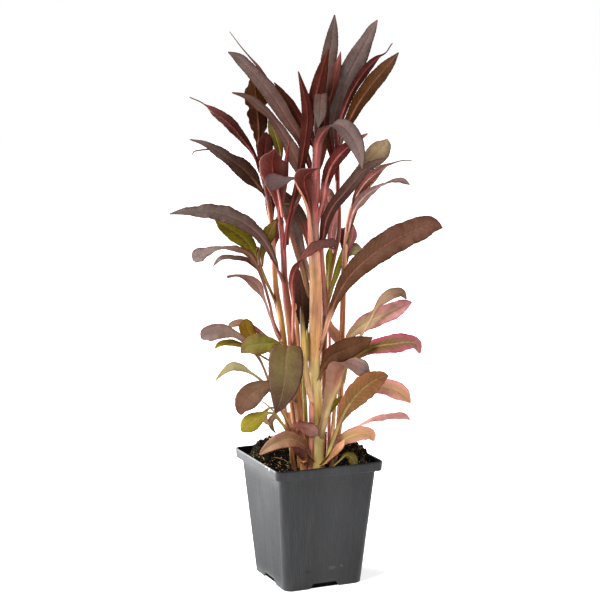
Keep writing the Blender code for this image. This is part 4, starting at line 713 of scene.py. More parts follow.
def turned(vectors):
    """Directions from the plant's own frame to the pot's."""
    turn = math.radians(PLANT_TURN)
    vectors = np.asarray(vectors, float)
    x = vectors[..., 0] * math.cos(turn) - vectors[..., 1] * math.sin(turn)
    y = vectors[..., 0] * math.sin(turn) + vectors[..., 1] * math.cos(turn)
    return np.stack([x, y, vectors[..., 2]], axis=-1)


def in_pot(points):
    """Places from the plant's own frame in mm to the pot's frame in metres."""
    return turned(np.asarray(points, float) - (POT_ACROSS, 0, 0)) * MM


def share_of(value, low, run):
    """How far a value is on its way from low to low + run: 0 to 1."""
    return min(max((value - low) / run, 0), 1)


def lengths_along(places):
    """How far along a line of places each of them lies."""
    return np.concatenate([[0], np.cumsum(np.linalg.norm(np.diff(places, axis=0), axis=1))])


def smooth_path(rows, count):
    """Evenly spaced samples of the smooth curve through the rows, whose first three columns are places."""
    rows = np.array(rows, float)
    reach = lengths_along(rows[:, :3])
    slopes = np.gradient(rows, reach, axis=0)
    at = np.linspace(0, reach[-1], count)
    cell = np.clip(np.searchsorted(reach, at, side="right") - 1, 0, len(reach) - 2)
    span = (reach[cell + 1] - reach[cell])[:, None]
    f = (at - reach[cell])[:, None] / span
    return ((2 * f ** 3 - 3 * f ** 2 + 1) * rows[cell] + (f ** 3 - 2 * f ** 2 + f) * span * slopes[cell]
            + (3 * f ** 2 - 2 * f ** 3) * rows[cell + 1] + (f ** 3 - f ** 2) * span * slopes[cell + 1])


def stem_at(stem, up):
    """A stem's centre and radius where the front view shows it at this height."""
    rows = STEMS[stem][1]
    heights = [row[1] for row in rows]
    across, away, radius = (np.interp(up, heights, [row[k] for row in rows]) for k in (0, 2, 3))
    return seen(across, up, away), radius


def unit(vectors):
    return vectors / np.linalg.norm(vectors, axis=-1, keepdims=True)


# Nodes

class Wire:
    """A shader node's output, which sums take like a number."""

    def __init__(self, nodes, socket):
        self.nodes = nodes
        self.socket = socket

    def __add__(self, other):
        return self.nodes.math("ADD", self, other)

    def __sub__(self, other):
        return self.nodes.math("SUBTRACT", self, other)

    def __mul__(self, other):
        return self.nodes.math("MULTIPLY", self, other)

    def __truediv__(self, other):
        return self.nodes.math("DIVIDE", self, other)

    def __abs__(self):
        return self.nodes.math("ABSOLUTE", self)


class Nodes:
    """Short ways to add shader nodes and join them."""

    def __init__(self, name):
        self.material = bpy.data.materials.new(name)
        self.material.use_nodes = True
        self.tree = self.material.node_tree
        self.shader = self.tree.nodes["Principled BSDF"]

    def set(self, socket, value):
        if isinstance(value, Wire):
            self.tree.links.new(value.socket, socket)
        else:
            socket.default_value = value

    def add(self, kind, inputs, output=0, **settings):
        """The output of a new node with these settings and these inputs, by name or number."""
        node = self.tree.nodes.new("ShaderNode" + kind)
        for key, value in settings.items():
            setattr(node, key, value)
        for key, value in inputs.items():
            self.set(node.inputs[key], value)
        return Wire(self, node.outputs[output])

    def math(self, operation, *values):
        return self.add("Math", dict(enumerate(values)), operation=operation)

    def mix(self, share, a, b, blend="MIX"):
        """Two colours mixed: b's share over a."""
        a, b = (colour if isinstance(colour, Wire) else (*colour, 1) for colour in (a, b))
        return self.add("Mix", {0: share, 6: a, 7: b}, 2, data_type="RGBA", blend_type=blend)

    def times(self, colour, *factors):
        return self.mix(1.0, colour, factors, "MULTIPLY")

    def between(self, value, low, high, start=0.0, end=1.0):
        """A smooth step of the value from low to high."""
        return self.add("MapRange", dict(enumerate((value, low, high, start, end))), interpolation_type="SMOOTHSTEP")

    def fall(self, value, low, high):
        """A smooth step down, from 1 at low to 0 at high."""
        return self.between(value, low, high, 1.0, 0.0)

    def attribute(self, name, output="Color"):
        return self.add("Attribute", {}, output, attribute_name=name)

    def split(self, vector):
        first = self.add("SeparateXYZ", {0: vector})
        return [Wire(self, socket) for socket in first.socket.node.outputs]

    def place(self, scale=(1, 1, 1)):
        """The place on the object, in metres times the scale."""
        return self.add("Mapping", {"Vector": self.add("TexCoord", {}, "Object"), "Scale": scale})

    def noise(self, scale, detail=3.0, roughness=0.5, stretch=(1, 1, 1)):
        return self.add("TexNoise", {"Scale": scale, "Detail": detail, "Roughness": roughness,
                                     "Vector": self.place(stretch)})

    def cells(self, scale, feature="F1"):
        return self.add("TexVoronoi", {"Scale": scale, "Vector": self.place()}, "Distance", feature=feature)

    def bump(self, height, distance, strength=1.0):
        relief = self.add("Bump", {"Strength": strength, "Distance": distance, "Height": height})
        self.set(self.shader.inputs["Normal"], relief)

    def finish(self, colour, roughness, **inputs):
        """The material, once its colour, its roughness and the shader's other inputs are set."""
        self.set(self.shader.inputs["Base Color"], colour)
        self.set(self.shader.inputs["Roughness"], roughness)
        for key, value in inputs.items():
            self.shader.inputs[key.replace("_", " ")].default_value = value
        return self.material


# Materials

def leaf_material(name, side, rib_share, vein_share, roughness):
    """A leaf's surface: its painted colours, a midrib, arching side veins, netted small veins and an edge zone."""
    n = Nodes(name)
    across, along, half = n.split(n.attribute("lay", "Vector"))
    rib_half, edge, rib_tone = n.split(n.attribute("zone", "Vector"))
    rims, ribs = n.attribute("rim"), n.attribute("rib")
    out = abs(across)
    place = out / half
    wander = n.noise(140.0)
    blotch = n.noise(85.0, 5.0, 0.6)
    fine = n.noise(420.0, 5.0, 0.6)
    # side veins leave the midrib at a slant and fade before the margin
    slant = along - out * VEIN_SLANT + wander * 5.0
    wave = abs(n.math("FRACT", slant / VEIN_PITCH) - 0.5)
    vein = n.fall(wave, 0.0, 0.12) * n.fall(place, 0.5, 0.95) * n.between(half, 2.0, 4.5)
    netted = n.fall(n.cells(620.0, "DISTANCE_TO_EDGE"), 0.0, 0.12)
    outer = n.between(place + (blotch - 0.5) * 1.3, 0.3, 1.0) * edge
    # the midrib is plainer in some places than in others
    rib = n.fall(out, rib_half * 0.45, rib_half * 1.15) * rib_tone * n.between(wander, 0.35, 0.6, 0.45, 1.0)
    colour = n.mix(outer, n.attribute(side), rims)
    darker = n.times(colour, 0.6, 0.54, 0.5)
    lighter = n.times(colour, 1.3, 1.28, 1.2)
    for share, tone in (
            (n.between(blotch, 0.35, 0.75, 0.0, 0.55), darker), (n.between(fine, 0.5, 0.75, 0.0, 0.5), lighter),
            (netted * 0.16, darker), (vein * vein_share, ribs), (n.fall(half - out, 0.05, 0.8) * 0.5, rims),
            (rib * rib_share, ribs)):
        colour = n.mix(share, colour, tone)
    n.bump(netted * -0.3 - vein * 0.8 + fine * 0.5, 0.00016, 0.5)
    return n.finish(colour, n.between(blotch, 0.3, 0.7, roughness - 0.05, roughness + 0.1), Specular_IOR_Level=0.08)


def stem_material():
    """A smooth fleshy stem with fine streaks along it and small dark flecks."""
    n = Nodes("stem skin")
    streak = n.noise(60.0, 4.0, stretch=(14, 14, 1))
    fine = n.noise(160.0, 3.0, stretch=(10, 10, 1))
    flecks = n.fall(n.cells(420.0), 0.0, 0.22)
    colour = n.attribute("paint")
    darker = n.times(colour, 0.72, 0.58, 0.5)
    lighter = n.times(colour, 1.14, 1.16, 1.1)
    for share, tone in ((n.between(streak, 0.42, 0.7, 0.0, 0.7), darker),
                        (n.between(fine, 0.5, 0.75, 0.0, 0.7), lighter), (flecks * 0.3, darker)):
        colour = n.mix(share, colour, tone)
    n.bump(streak + fine * 0.5, 0.0004, 0.6)
    return n.finish(colour, n.between(fine, 0.3, 0.7, 0.36, 0.5), Specular_IOR_Level=0.5, Subsurface_Weight=0.08,
                    Subsurface_Scale=0.002)


def pot_material():
    """Thin black moulded plastic, dulled and scuffed, with splashes of dried compost near its foot, painted shade on
    its sides towards +x and -y, a painted sheen band and painted highlights on its rim.
    """
    n = Nodes("nursery pot plastic")
    where = n.place((1000, 1000, 1000))
    x, y, z = n.split(where)
    scuff = n.noise(28.0, 6.0, 0.6, (1, 1, 0.22))
    grain = n.noise(900.0, 3.0)
    dust = n.noise(60.0, 8.0, 0.7)
    streak = n.noise(330.0, 2.0, stretch=(1, 1, 0.02))
    splashes = n.fall(n.cells(190.0), 0.02, 0.16) * n.between(dust, 0.55, 0.68) * n.fall(z, 6.0, 55.0)
    pale = n.between(n.noise(420.0, 2.0), 0.66, 0.74) * n.between(dust, 0.6, 0.75)
    colour = n.mix(n.between(scuff, 0.35, 0.75), (0.015, 0.016, 0.018), (0.029, 0.030, 0.033))
    for share, tone in (
            (n.between(streak, 0.4, 0.7, 0.0, 0.6), (0.044, 0.045, 0.048)),
            (n.between(grain, 0.4, 0.8, 0.0, 0.2), (0.07, 0.07, 0.074)),
            (splashes * 0.85, (0.007, 0.006, 0.005)),
            (pale * 0.5, (0.3, 0.29, 0.27)),
            (n.between(z, 0.0, 62.0, 0.30, 0.0), (0.010, 0.010, 0.011)),       # darker towards the foot
            # painted sheen: a paler band runs down the middle of the front and the back
            (n.between(abs(x - 6.0), 1.0, 20.0, 0.3, 0.0), (0.075, 0.076, 0.08))):
        colour = n.mix(share, colour, tone)
    # painted shade: its sides towards +x and -y are darker than the others
    colour = n.mix(n.between(x - y, -3.0, 2.0), colour, n.times(colour, 0.6, 0.6, 0.61))
    # scuffs and smudges, and the two painted highlights on the rim's top edge
    for centre, reach, tone, share in SCUFFS_AND_RIM_HIGHLIGHTS:
        spot = n.add("Mapping", {"Vector": where, "Scale": [1 / size for size in reach],
                                 "Location": [-at / size for at, size in zip(centre, reach)]})
        far = n.add("VectorMath", {0: spot}, "Value", operation="LENGTH") + n.noise(700.0, 4.0) * 1.4
        colour = n.mix(n.between(far, 1.1, 1.7, share, 0.0), colour, (tone, tone * 0.98, tone * 0.95))
    n.bump(scuff * 0.5 + grain * 0.2, 0.0003, 0.4)
    return n.finish(colour, n.between(scuff, 0.3, 0.8, 0.38, 0.48), Specular_IOR_Level=0.5)


def pot_inside_shade_material():
    """The pot's inner faces and its foot plate inside the notches, dull and painted dark as shade."""
    n = Nodes("nursery pot painted shade inside")
    shade_mottle = n.noise(240.0, 5.0)
    colour = n.mix(n.between(shade_mottle, 0.4, 0.7), (0.003, 0.003, 0.003), (0.010, 0.008, 0.006))
    n.bump(shade_mottle, 0.0004)
    return n.finish(colour, 0.9, Specular_IOR_Level=0.06)


def soil_material():
    """Dark damp peat with golden flecks."""
    n = Nodes("potting compost")
    lumps = n.noise(260.0, 6.0, 0.65)
    flecks = n.noise(1100.0, 2.0)
    colour = n.mix(n.between(lumps, 0.35, 0.7), (0.002, 0.0017, 0.0015), (0.012, 0.009, 0.006))
    colour = n.mix(n.between(flecks, 0.66, 0.72, 0.0, 0.9), colour, (0.6, 0.42, 0.16))
    n.bump(lumps + flecks * 0.3, 0.0018)
    return n.finish(colour, n.between(lumps, 0.3, 0.7, 0.75, 0.98), Specular_IOR_Level=0.12)


def crumb_material():
    """Bits of bark, fibre and moss, each painted its own colour."""
    n = Nodes("bark and fibre")
    grain = n.noise(1200.0, 4.0)
    colour = n.mix(n.between(grain, 0.45, 0.8, 0.0, 0.7), n.attribute("paint"), (0.02, 0.015, 0.01))
    n.bump(grain, 0.0006)
    return n.finish(colour, n.between(grain, 0.3, 0.7, 0.5, 0.9), Specular_IOR_Level=0.2)


def floor_material():
    """A white floor that glows a little."""
    n = Nodes("studio floor")
    grain = n.noise(6.0, 2.0)
    return n.finish(n.mix(grain, (0.90, 0.90, 0.90), (0.93, 0.93, 0.93)), 0.9, Specular_IOR_Level=0.1,
                    Emission_Color=(1, 1, 1, 1), Emission_Strength=FLOOR_GLOW)


# Meshes

def add_object(name, data):
    """A new object with this data, in the scene."""
    thing = bpy.data.objects.new(name, data)
    bpy.context.scene.collection.objects.link(thing)
    return thing


def new_piece(name, points, faces, materials):
    """A smooth mesh piece that stands on the object's one body."""
    mesh = bpy.data.meshes.new(name)
    mesh.from_pydata([tuple(p) for p in points], [], [tuple(f) for f in faces])
    mesh.shade_smooth()
    for finish in materials:
        mesh.materials.append(finish)
    piece = add_object(name, mesh)
    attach(piece, "root")
    return piece


def grid_faces(index):
    """The quads of a grid of points, given by their numbers."""
    return np.stack([index[:-1, :-1], index[:-1, 1:], index[1:, 1:], index[1:, :-1]], axis=-1).reshape(-1, 4)


def ring_faces(rings, size):
    """The quads from each ring of points to the next, with a cap on the first and the last."""
    index = np.arange(rings * size).reshape(-1, size)
    after = np.roll(index, -1, axis=1)
    quads = np.stack([index[:-1], after[:-1], after[1:], index[1:]], axis=-1).reshape(-1, 4)
    return quads.tolist() + [index[0][::-1].tolist(), index[-1].tolist()]


def ring(centre, radius, right, up, sides):
    """Points round a centre."""
    return [centre + radius * math.cos(angle) * right + radius * math.sin(angle) * up
            for angle in np.linspace(0, 2 * math.pi, sides, endpoint=False)]


def paint(mesh, name, values):
    """A colour for each point, under this name."""
    values = np.asarray(values, float)
    layer = mesh.attributes.new(name, "FLOAT_COLOR", "POINT")
    layer.data.foreach_set("color", np.column_stack([values, np.ones(len(values))]).ravel())


def store(mesh, name, vectors):
    """A vector for each point, under this name."""
    mesh.attributes.new(name, "FLOAT_VECTOR", "POINT").data.foreach_set("vector", np.asarray(vectors, float).ravel())


def mark_faces(mesh, *spans):
    """Gives the faces in these spans of numbers the mesh's second material."""
    marks = np.zeros(len(mesh.polygons), dtype=np.int32)
    for first, last in spans:
        marks[first:last] = 1
    mesh.polygons.foreach_set("material_index", marks)


# Leaves

def facing_vector(angle):
    """Where the upper side looks, in the plant's own frame: 0 to the front, 90 up, 180 to the back."""
    turn = math.radians(angle)
    return np.array([0, -math.cos(turn), math.sin(turn)])


def shows_upper(rows):
    """True for a leaf whose upper side the front view shows over most of its blade."""
    return sum(row[3] * math.cos(math.radians(row[4]) - 0.5) for row in rows) > 0


def leaf_frames(stem, height, rows):
    """Places, half widths and the across and upper directions at even steps along a leaf."""
    places = [seen(*row[:3]) for row in rows]
    widths = [row[3] for row in rows]
    facings = [facing_vector(row[4]) for row in rows]
    if stem:
        axis, radius = stem_at(stem, height)
        outward = places[0] - axis
        outward[2] = 0
        outward = unit(outward)
        least, most = LEAF_CLASP
        places.insert(0, axis + outward * radius * LEAF_FOOT)
        widths.insert(0, max(min(widths[0] * 1.1, most * radius), least * radius))
        facings.insert(0, -outward)
    steps = int(lengths_along(places)[-1] / LEAF_STEP) + 8
    samples = smooth_path([(*p, w, *f) for p, w, f in zip(places, widths, facings)], steps)
    along = unit(np.gradient(samples[:, :3], axis=0))
    upper = samples[:, 4:7]
    upper = unit(upper - np.sum(upper * along, axis=1)[:, None] * along)
    return samples[:, :3], np.maximum(samples[:, 3], LEAST_WIDTH) / 2, np.cross(upper, along), upper


def ramp(names, t, stalk):
    """The colours at shares t along the leaf, from its stem, its middle and its tip; its stalk keeps the first."""
    return colours_at(t, (0.04 + stalk, stalk + 0.13 if stalk else 0.5, 0.95), names)


def leaf_faces(count):
    """The faces of a leaf's upper side, of its under side, which shares the margins, and of its two ends."""
    columns = len(COLUMNS)
    top = np.arange(count * columns).reshape(count, columns)
    low = top.copy()
    low[:, 1:-1] = top.size + np.arange(count * (columns - 2)).reshape(count, -1)
    ends = [(list(low[row]) + list(top[row, -2:0:-1]))[::order] for row, order in ((0, 1), (-1, -1))]
    return grid_faces(top), grid_faces(low)[:, ::-1], ends


def both_sides(top, low):
    """The points of a leaf's upper side, then those of its under side within its margins, or their values."""
    size = (-1, *top.shape[2:])
    return np.concatenate([top.reshape(size), low[:, 1:-1].reshape(size)])


def make_leaf(name, stem, height, rows, number):
    """One leaf: a folded, waved blade with toothed margins over a raised midrib, which thickens to its stalk."""
    shape = PLAIN_LEAF | SHAPES.get(name, {})
    places, half, across, upper = leaf_frames(stem, height, rows)
    phase = np.random.default_rng(number).uniform(0, 2 * math.pi, 6)
    # columns with a value for each row of points, which s spreads from margin to margin
    s = np.array(COLUMNS, float)[None, :]
    length = lengths_along(places)[:, None]
    t = length / length[-1]
    half = half[:, None] * (1 - shape["slim"] * np.clip((t - SLIM_FROM) / SLIM_RUN, 0, 1))
    widest = half.max()
    blade = np.clip((half - STALK_HALF) / BLADE_RISE, 0, 1)      # 0 along the stalk, 1 along the blade
    rib_half = np.interp(t, *RIB_TAPER) * np.clip(widest / 5, 0.6, 1.2) * shape["rib"]
    rib_half = np.minimum(rib_half, half * 0.8)
    rib_deep = rib_half * RIB_DEEP / shape["rib"] ** 0.5
    ripple = sum(share * (np.sin(2 * math.pi * length / right + phase[2 * k]) * (s > 0)
                          + np.sin(2 * math.pi * length / left + phase[2 * k + 1]) * (s < 0))
                 for k, (share, right, left) in enumerate(RIPPLES))
    # teeth point forward along each margin, and a ragged leaf loses bits of it
    teeth = np.where(s > 0, (length / TOOTH_PITCH + phase[4]) % 1, (length / TOOTH_PITCH + phase[5]) % 1)
    tooth = shape["tooth"] * teeth * (np.abs(s) == 1) * blade * np.clip(widest / 6, 0.4, 1)
    bites = np.sin(length / BITES[0] + phase[3]) * np.sin(length / BITES[1] + phase[1]) * np.abs(s) ** 6
    reach = half * (1 - shape["ragged"] * np.clip(bites, 0, 1)) * s + np.sign(s) * tooth
    fold = math.radians(shape["fold"])
    bulge = np.sin(2 * math.pi * (length - VEIN_SLANT * np.abs(reach)) / VEIN_PITCH) * np.clip(half / 6, 0, 1)
    lift = (np.abs(reach) * math.sin(fold) + (shape["wave"] * ripple - shape["curl"]) * half * blade * s ** 2
            + VEIN_BULGE * blade * bulge * (1 - s ** 2))
    shift = shape["shift"] * half * blade
    ridge = np.exp(-((reach - shift) / rib_half) ** 2)
    top = lift + BLADE / 2 * (1 - s ** 2) - RIB_GROOVE * rib_deep * ridge * blade
    bottom = lift - BLADE / 2 * (1 - s ** 2) - rib_deep * ridge
    sheet = places[:, None, :] + (reach * math.cos(fold))[..., None] * across[:, None, :]
    points = both_sides(*(sheet + high[..., None] * upper[:, None, :] for high in (top, bottom)))
    upper_faces, under_faces, ends = leaf_faces(len(places))
    faces = upper_faces.tolist() + under_faces.tolist() + ends
    piece = new_piece(f"{name}_blade", in_pot(points), faces, (LEAF_TOP, LEAF_UNDER))
    mark_faces(piece.data, (len(upper_faces), -len(ends)))
    # what the materials read at each point
    values = [np.broadcast_to(grid, reach.shape) for grid in (t, reach - shift, length, half, rib_half, blade)]
    t, aside, length, half, rib_half, blade = (both_sides(grid, grid) for grid in values)
    *names, rib, rim, other = LOOKS[name].split()
    shown = ramp(names, t, shape["stalk"])
    # painted shade: one half of the blade darker than the other
    shade = shape.get("shade", 0.1 * math.cos(phase[4]))
    shown *= 1 - abs(shade) * np.clip(0.5 + math.copysign(1.5, shade) * aside / half, 0, 1)[:, None]
    own = OTHER_SIDE * blade[:, None]
    hidden = np.array(linear(other)) * own + shown * (1 - own)
    sides = (shown, hidden) if shows_upper(rows) else (hidden, shown)
    for layer, colours in zip(("upper", "under", "rib", "rim"), (*sides, linear(rib), linear(rim))):
        paint(piece.data, layer, np.broadcast_to(colours, shown.shape))
    store(piece.data, "lay", np.column_stack([aside, length, half]))
    store(piece.data, "zone", np.column_stack([rib_half, np.full(t.shape, shape["edge"]), np.interp(t, *RIB_FAINT)]))
    return piece


# Stems and stalks

def tube(name, rows, sides, look, marks=()):
    """A ribbed stem, which swells a little at its leaves, with rounded ends."""
    rows = [(*seen(*row[:3]), row[3]) for row in rows]
    samples = smooth_path(rows, int(lengths_along(np.array(rows)[:, :3])[-1] / STEM_STEP) + 4)
    places, radius = samples[:, :3], np.maximum(samples[:, 3], 0.3)
    along = unit(np.gradient(places, axis=0))
    right = unit(np.cross(along, (0, 1.0, 0)))
    front = np.cross(right, along)
    angles = np.linspace(0, 2 * math.pi, sides, endpoint=False)
    swell = 1 + sum(STEM_SWELL * np.exp(-((places[:, 2] - mark) / SWELL_REACH) ** 2) for mark in marks)
    ribs = 1 + STEM_RIBS * np.cos(5 * angles + 0.4)
    rounded = np.clip((np.arange(len(places))[::-1] + 0.15) / 2.5, 0, 1) ** 0.5
    r = (radius * swell * rounded)[:, None] * ribs[None, :]
    points = (places[:, None, :] + (r * np.cos(angles))[..., None] * right[:, None, :]
              + (r * np.sin(angles))[..., None] * front[:, None, :])
    faces = ring_faces(len(places), sides)
    piece = new_piece(name, in_pot(points.reshape(-1, 3)), faces, (STEM_SKIN,))
    # its colours change on the way up, its bands wind round it, and painted shade darkens its left side and its back
    # while painted light pales its right side
    heights = np.repeat(places[:, 2], sides)
    angles = np.tile(angles, len(places))
    stops, grounds, bands = zip(*look)
    ground, band = colours_at(heights, stops, grounds), colours_at(heights, stops, bands)
    wind = angles + 0.5 * np.sin(heights / 31.0)
    share = np.clip(0.45 + 0.5 * np.cos(wind * 2 + 0.9) + 0.25 * np.cos(wind * 5 + heights / 17.0), 0, 1)[:, None]
    # painted shade on the left side, painted light on the right side
    dark, pale = STEM_SIDE_SHADES.get(name.removesuffix("_skin"), (0, 0))
    left, back = np.cos(angles), np.sin(angles)
    tone = 1 - dark * np.clip(left, 0, 1) + pale * np.clip(-1.2 * left, 0, 1)
    # painted shade: the back of the stem darker
    tone *= 1 - STEM_BACK_SHADE * np.clip(1.6 * back, 0, 1)
    shades = (ground * (1 - share) + band * share) * tone[:, None]
    paint(piece.data, "paint", shades * np.minimum(1, STEM_BRIGHTEST / shades.max(axis=1))[:, None])
    return piece


def make_stems():
    for name, (colour, rows) in STEMS.items():
        marks = [stem_at(name, leaf[1])[0][2] for leaf in LEAVES.values() if leaf[0] == name]
        fuller = STEM_FULL.get(name, 1.0)
        rows = [(across, up, away, radius * fuller) for across, up, away, radius in rows]
        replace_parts(tube(f"{name}_skin", rows, STEM_SIDES, STEM_LOOKS[name], marks), name)


def make_stalks():
    for name, (colour, band, rows, *top) in STALKS.items():
        look = [(0, colour, band), (rows[0][1], colour, band)] + top
        tube(name, rows, STALK_SIDES, look)


def make_leaves():
    for number, (name, (stem, height, slot, rows)) in enumerate(LEAVES.items()):
        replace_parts(make_leaf(name, stem, height, rows, number), name)
    for number, (name, (stem, height, slot, rows)) in enumerate(SMALL_LEAVES.items()):
        make_leaf(name, stem, height, rows, SMALL_SEED + number)


# The pot

def body_half(z):
    """Half the pot body's outer width at a height."""
    return (FOOT_WIDTH + (BODY_TOP_WIDTH - FOOT_WIDTH) * z / BODY_TOP) / 2


def corner_at(z):
    return FOOT_CORNER + (RIM_CORNER - FOOT_CORNER) * z / POT_HEIGHT


def side_height(u, low):
    """How high a wall's lower edge stands, u mm along a side from its middle: low, and higher in the notch."""
    return low + NOTCH_HEIGHT * share_of(-abs(u), -(NOTCH_WIDTH + NOTCH_SLANT) / 2, NOTCH_SLANT)


def square_ring(half, z, radius, rib=0, notch=False):
    """A square with round corners: ribbed along its sides, and lifted where a notch is cut."""
    points = []
    flat = half - radius
    for side in range(4):
        line = []
        for k in range(SIDE_STEPS):
            u = -flat + 2 * flat * k / (SIDE_STEPS - 1)
            out = half + rib * math.cos(2 * math.pi * k / RIB_PITCH)
            line.append((out, u, side_height(u, z) if notch else z))
        for k in range(1, CORNER_STEPS):
            angle = k * math.pi / 2 / CORNER_STEPS
            line.append((flat + radius * math.cos(angle), flat + radius * math.sin(angle), z))
        turn = side * math.pi / 2
        points += [(x * math.cos(turn) - y * math.sin(turn), x * math.sin(turn) + y * math.cos(turn), up)
                   for x, y, up in line]
    return np.array(points)


def make_pot():
    """The pot as one thin wall: outside, rim, inside and foot, with finely ribbed sides."""
    rim = RIM_WIDTH / 2
    foot, foot_corner = body_half(0), corner_at(0)
    body, body_corner = body_half(BODY_TOP), corner_at(BODY_TOP)
    # half width, height, corner radius, ribs and notches of each ring; the foot plate stands inside the notches
    profile = [
        (foot - 2.2, 0.0, foot_corner - 3), (foot - 2.0, 2.2, foot_corner - 3),
        (foot - 1.4, 2.2, foot_corner - 1.2), (foot - 1.2, 0.15, foot_corner - 1.0, 0, True),
        (foot - 0.6, 0.0, foot_corner - 0.5, 0, True), (body_half(0.5), 0.5, foot_corner, 0, True)]
    profile += [(body_half(z), z, corner_at(z), RIB_DEPTH * min(1, z / RIB_FADE, (BODY_TOP - z) / RIB_FADE), z < 2)
                for z in np.linspace(1.8, BODY_TOP - 1.6, BODY_RINGS)]
    profile += [
        (body, BODY_TOP - 0.6, body_corner), (body + 0.7, BODY_TOP, body_corner),
        # out to the rim band and up it
        (rim - 1.6, SHOULDER - 0.2, RIM_CORNER + 0.2), (rim - 0.8, SHOULDER, RIM_CORNER + 0.4),
        (rim - 0.4, SHOULDER + 0.5, RIM_CORNER + 0.5), (rim - 0.3, SHOULDER + 1.2, RIM_CORNER + 0.6),
        (rim - 0.1, POT_HEIGHT - 3.0, RIM_CORNER + 0.6), (rim, POT_HEIGHT - 1.2, RIM_CORNER + 0.6),
        (rim - 0.1, POT_HEIGHT - 0.4, RIM_CORNER + 0.5), (rim - 0.5, POT_HEIGHT, RIM_CORNER + 0.3),
        (rim - 0.9, POT_HEIGHT - 0.1, RIM_CORNER - 0.1),
        # down the inside
        (rim - WALL, POT_HEIGHT - 0.6, RIM_CORNER - 0.4), (rim - WALL - 0.3, SHOULDER + WALL + 0.4, RIM_CORNER - 0.6),
        (rim - WALL - 0.8, SHOULDER + WALL, RIM_CORNER - 0.9),
        (body - WALL + 0.5, SHOULDER + WALL - 0.3, body_corner - WALL),
        (body - WALL, SHOULDER + WALL - 1.0, body_corner - WALL), (body_half(4) - WALL, 4, foot_corner - WALL)]
    rings = [square_ring(*row) for row in profile]
    size = len(rings[0])
    faces = ring_faces(len(rings), size)
    pot = new_piece("pot_shell", np.concatenate(rings) * MM, faces, (pot_material(), pot_inside_shade_material()))
    # the foot plate and the inner wall take the painted shade
    mark_faces(pot.data, (0, FOOT_RINGS * size), ((len(rings) - INNER_RINGS) * size, len(faces)))
    pot.data.set_sharp_from_angle(angle=math.radians(SHARP_ANGLE))
    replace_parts(pot, "pot")
    return pot


# The compost

def soil_height(x, y):
    """The compost's level at a place in the pot, mm: low at the front, heaped at the back and the sides."""
    turn = math.radians(PLANT_TURN)
    across = x * math.cos(turn) + y * math.sin(turn)
    away = -x * math.sin(turn) + y * math.cos(turn)
    edge = share_of(max(abs(x), abs(y)), HEAP_FROM, HEAP_RUN)
    behind = share_of(away + 0.3 * abs(across), BACK_FROM, BACK_RUN)
    left = share_of(across, LEFT_CORNER, LEFT_RUN)
    lumps = 0.6 * math.sin(0.42 * x + 1.3) * math.cos(0.37 * y) + 0.4 * math.sin(0.8 * y + 0.5 * x)
    return SOIL_LEVEL - 1.5 * edge + SOIL_HEAP * edge * edge * (3 - 2 * edge) * behind * left + lumps


def rough_height(x, y):
    """The level with its lumps and crumbs."""
    where = Vector((x, y, 0))
    coarse = noise.fractal(where / 5.5, 0.9, 2.1, 4)
    level = soil_height(x, y)
    heaped = share_of(level, SOIL_LEVEL, SOIL_HEAP)
    return level + 3.0 * heaped ** 2 + (1.5 + 1.3 * heaped) * coarse + 0.5 * noise.noise(where / 1.3)


def soil_half(z):
    """Half the width that the pot leaves for the compost at a height."""
    narrow = body_half(BODY_TOP) - WALL - SOIL_GAP
    wide = RIM_WIDTH / 2 - WALL - 0.7
    return narrow + (wide - narrow) * share_of(z, SHOULDER + WALL + 0.3, 1.2)


def make_soil():
    """The compost's surface as a fine lumpy grid, carried down inside the pot."""
    side = SOIL_CELLS + 1
    points = []
    for j in range(side):
        for i in range(side):
            a, b = 2 * i / SOIL_CELLS - 1, 2 * j / SOIL_CELLS - 1
            half = soil_half(rough_height(SOIL_REACH * a, SOIL_REACH * b))
            # the grid's corners are drawn in to the pot's round ones
            pull = 1 - 0.03 * (abs(a) * abs(b)) ** 6
            x, y = half * a * pull, half * b * pull
            points.append((x, y, rough_height(x, y)))
    grid = np.arange(side * side).reshape(side, side)
    faces = grid_faces(grid).tolist()
    rim = list(grid[0, :-1]) + list(grid[:-1, -1]) + list(grid[-1, :0:-1]) + list(grid[:0:-1, 0])
    at_wall = body_half(SOIL_NARROW) - WALL - SOIL_GAP
    narrow = (body_half(SOIL_BOTTOM) - WALL - 0.5) / at_wall
    low = len(points)
    for k in rim:
        x, y, _ = points[k]
        shrink = min(1, at_wall / max(abs(x), abs(y))) * narrow
        points.append((x * shrink, y * shrink, SOIL_BOTTOM))
    count = len(rim)
    for k in range(count):
        after = (k + 1) % count
        faces.append((rim[after], rim[k], low + k, low + after))
    faces.append([low + k for k in range(count)][::-1])
    soil = new_piece("compost_surface", np.array(points) * MM, faces, (soil_material(),))
    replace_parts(soil, "compost")
    return soil


def scatter(chance, count):
    """Places on the compost, each with its level, more of them where it is heaped."""
    found = []
    while len(found) < count:
        x, y = (chance.uniform(-CRUMB_SPREAD, CRUMB_SPREAD) for _ in range(2))
        z = rough_height(x, y)
        if max(abs(x), abs(y)) < soil_half(z) - 0.3 and chance.random() < 0.35 + (z - SOIL_LEVEL) / 14:
            found.append((x, y, z))
    return found


def within_rim(points):
    """The points, drawn back to the inside of the pot's rim."""
    limit = soil_half(POT_HEIGHT) + 0.2
    return np.clip(points, (-limit, -limit, -math.inf), (limit, limit, math.inf))


def join_bits(name, bits):
    """One mesh of many small bits, each with its own colour."""
    points, faces, shades = [], [], []
    for bit_points, bit_faces, shade in bits:
        faces += [[len(points) + k for k in face] for face in bit_faces]
        points += list(bit_points)
        shades += [shade] * len(bit_points)
    piece = new_piece(name, np.array(points) * MM, faces, (CRUMB,))
    paint(piece.data, "paint", np.array(shades))
    return piece


CUBE_FACES = ((0, 2, 3, 1), (4, 5, 7, 6), (0, 1, 5, 4), (2, 6, 7, 3), (0, 4, 6, 2), (1, 3, 7, 5))


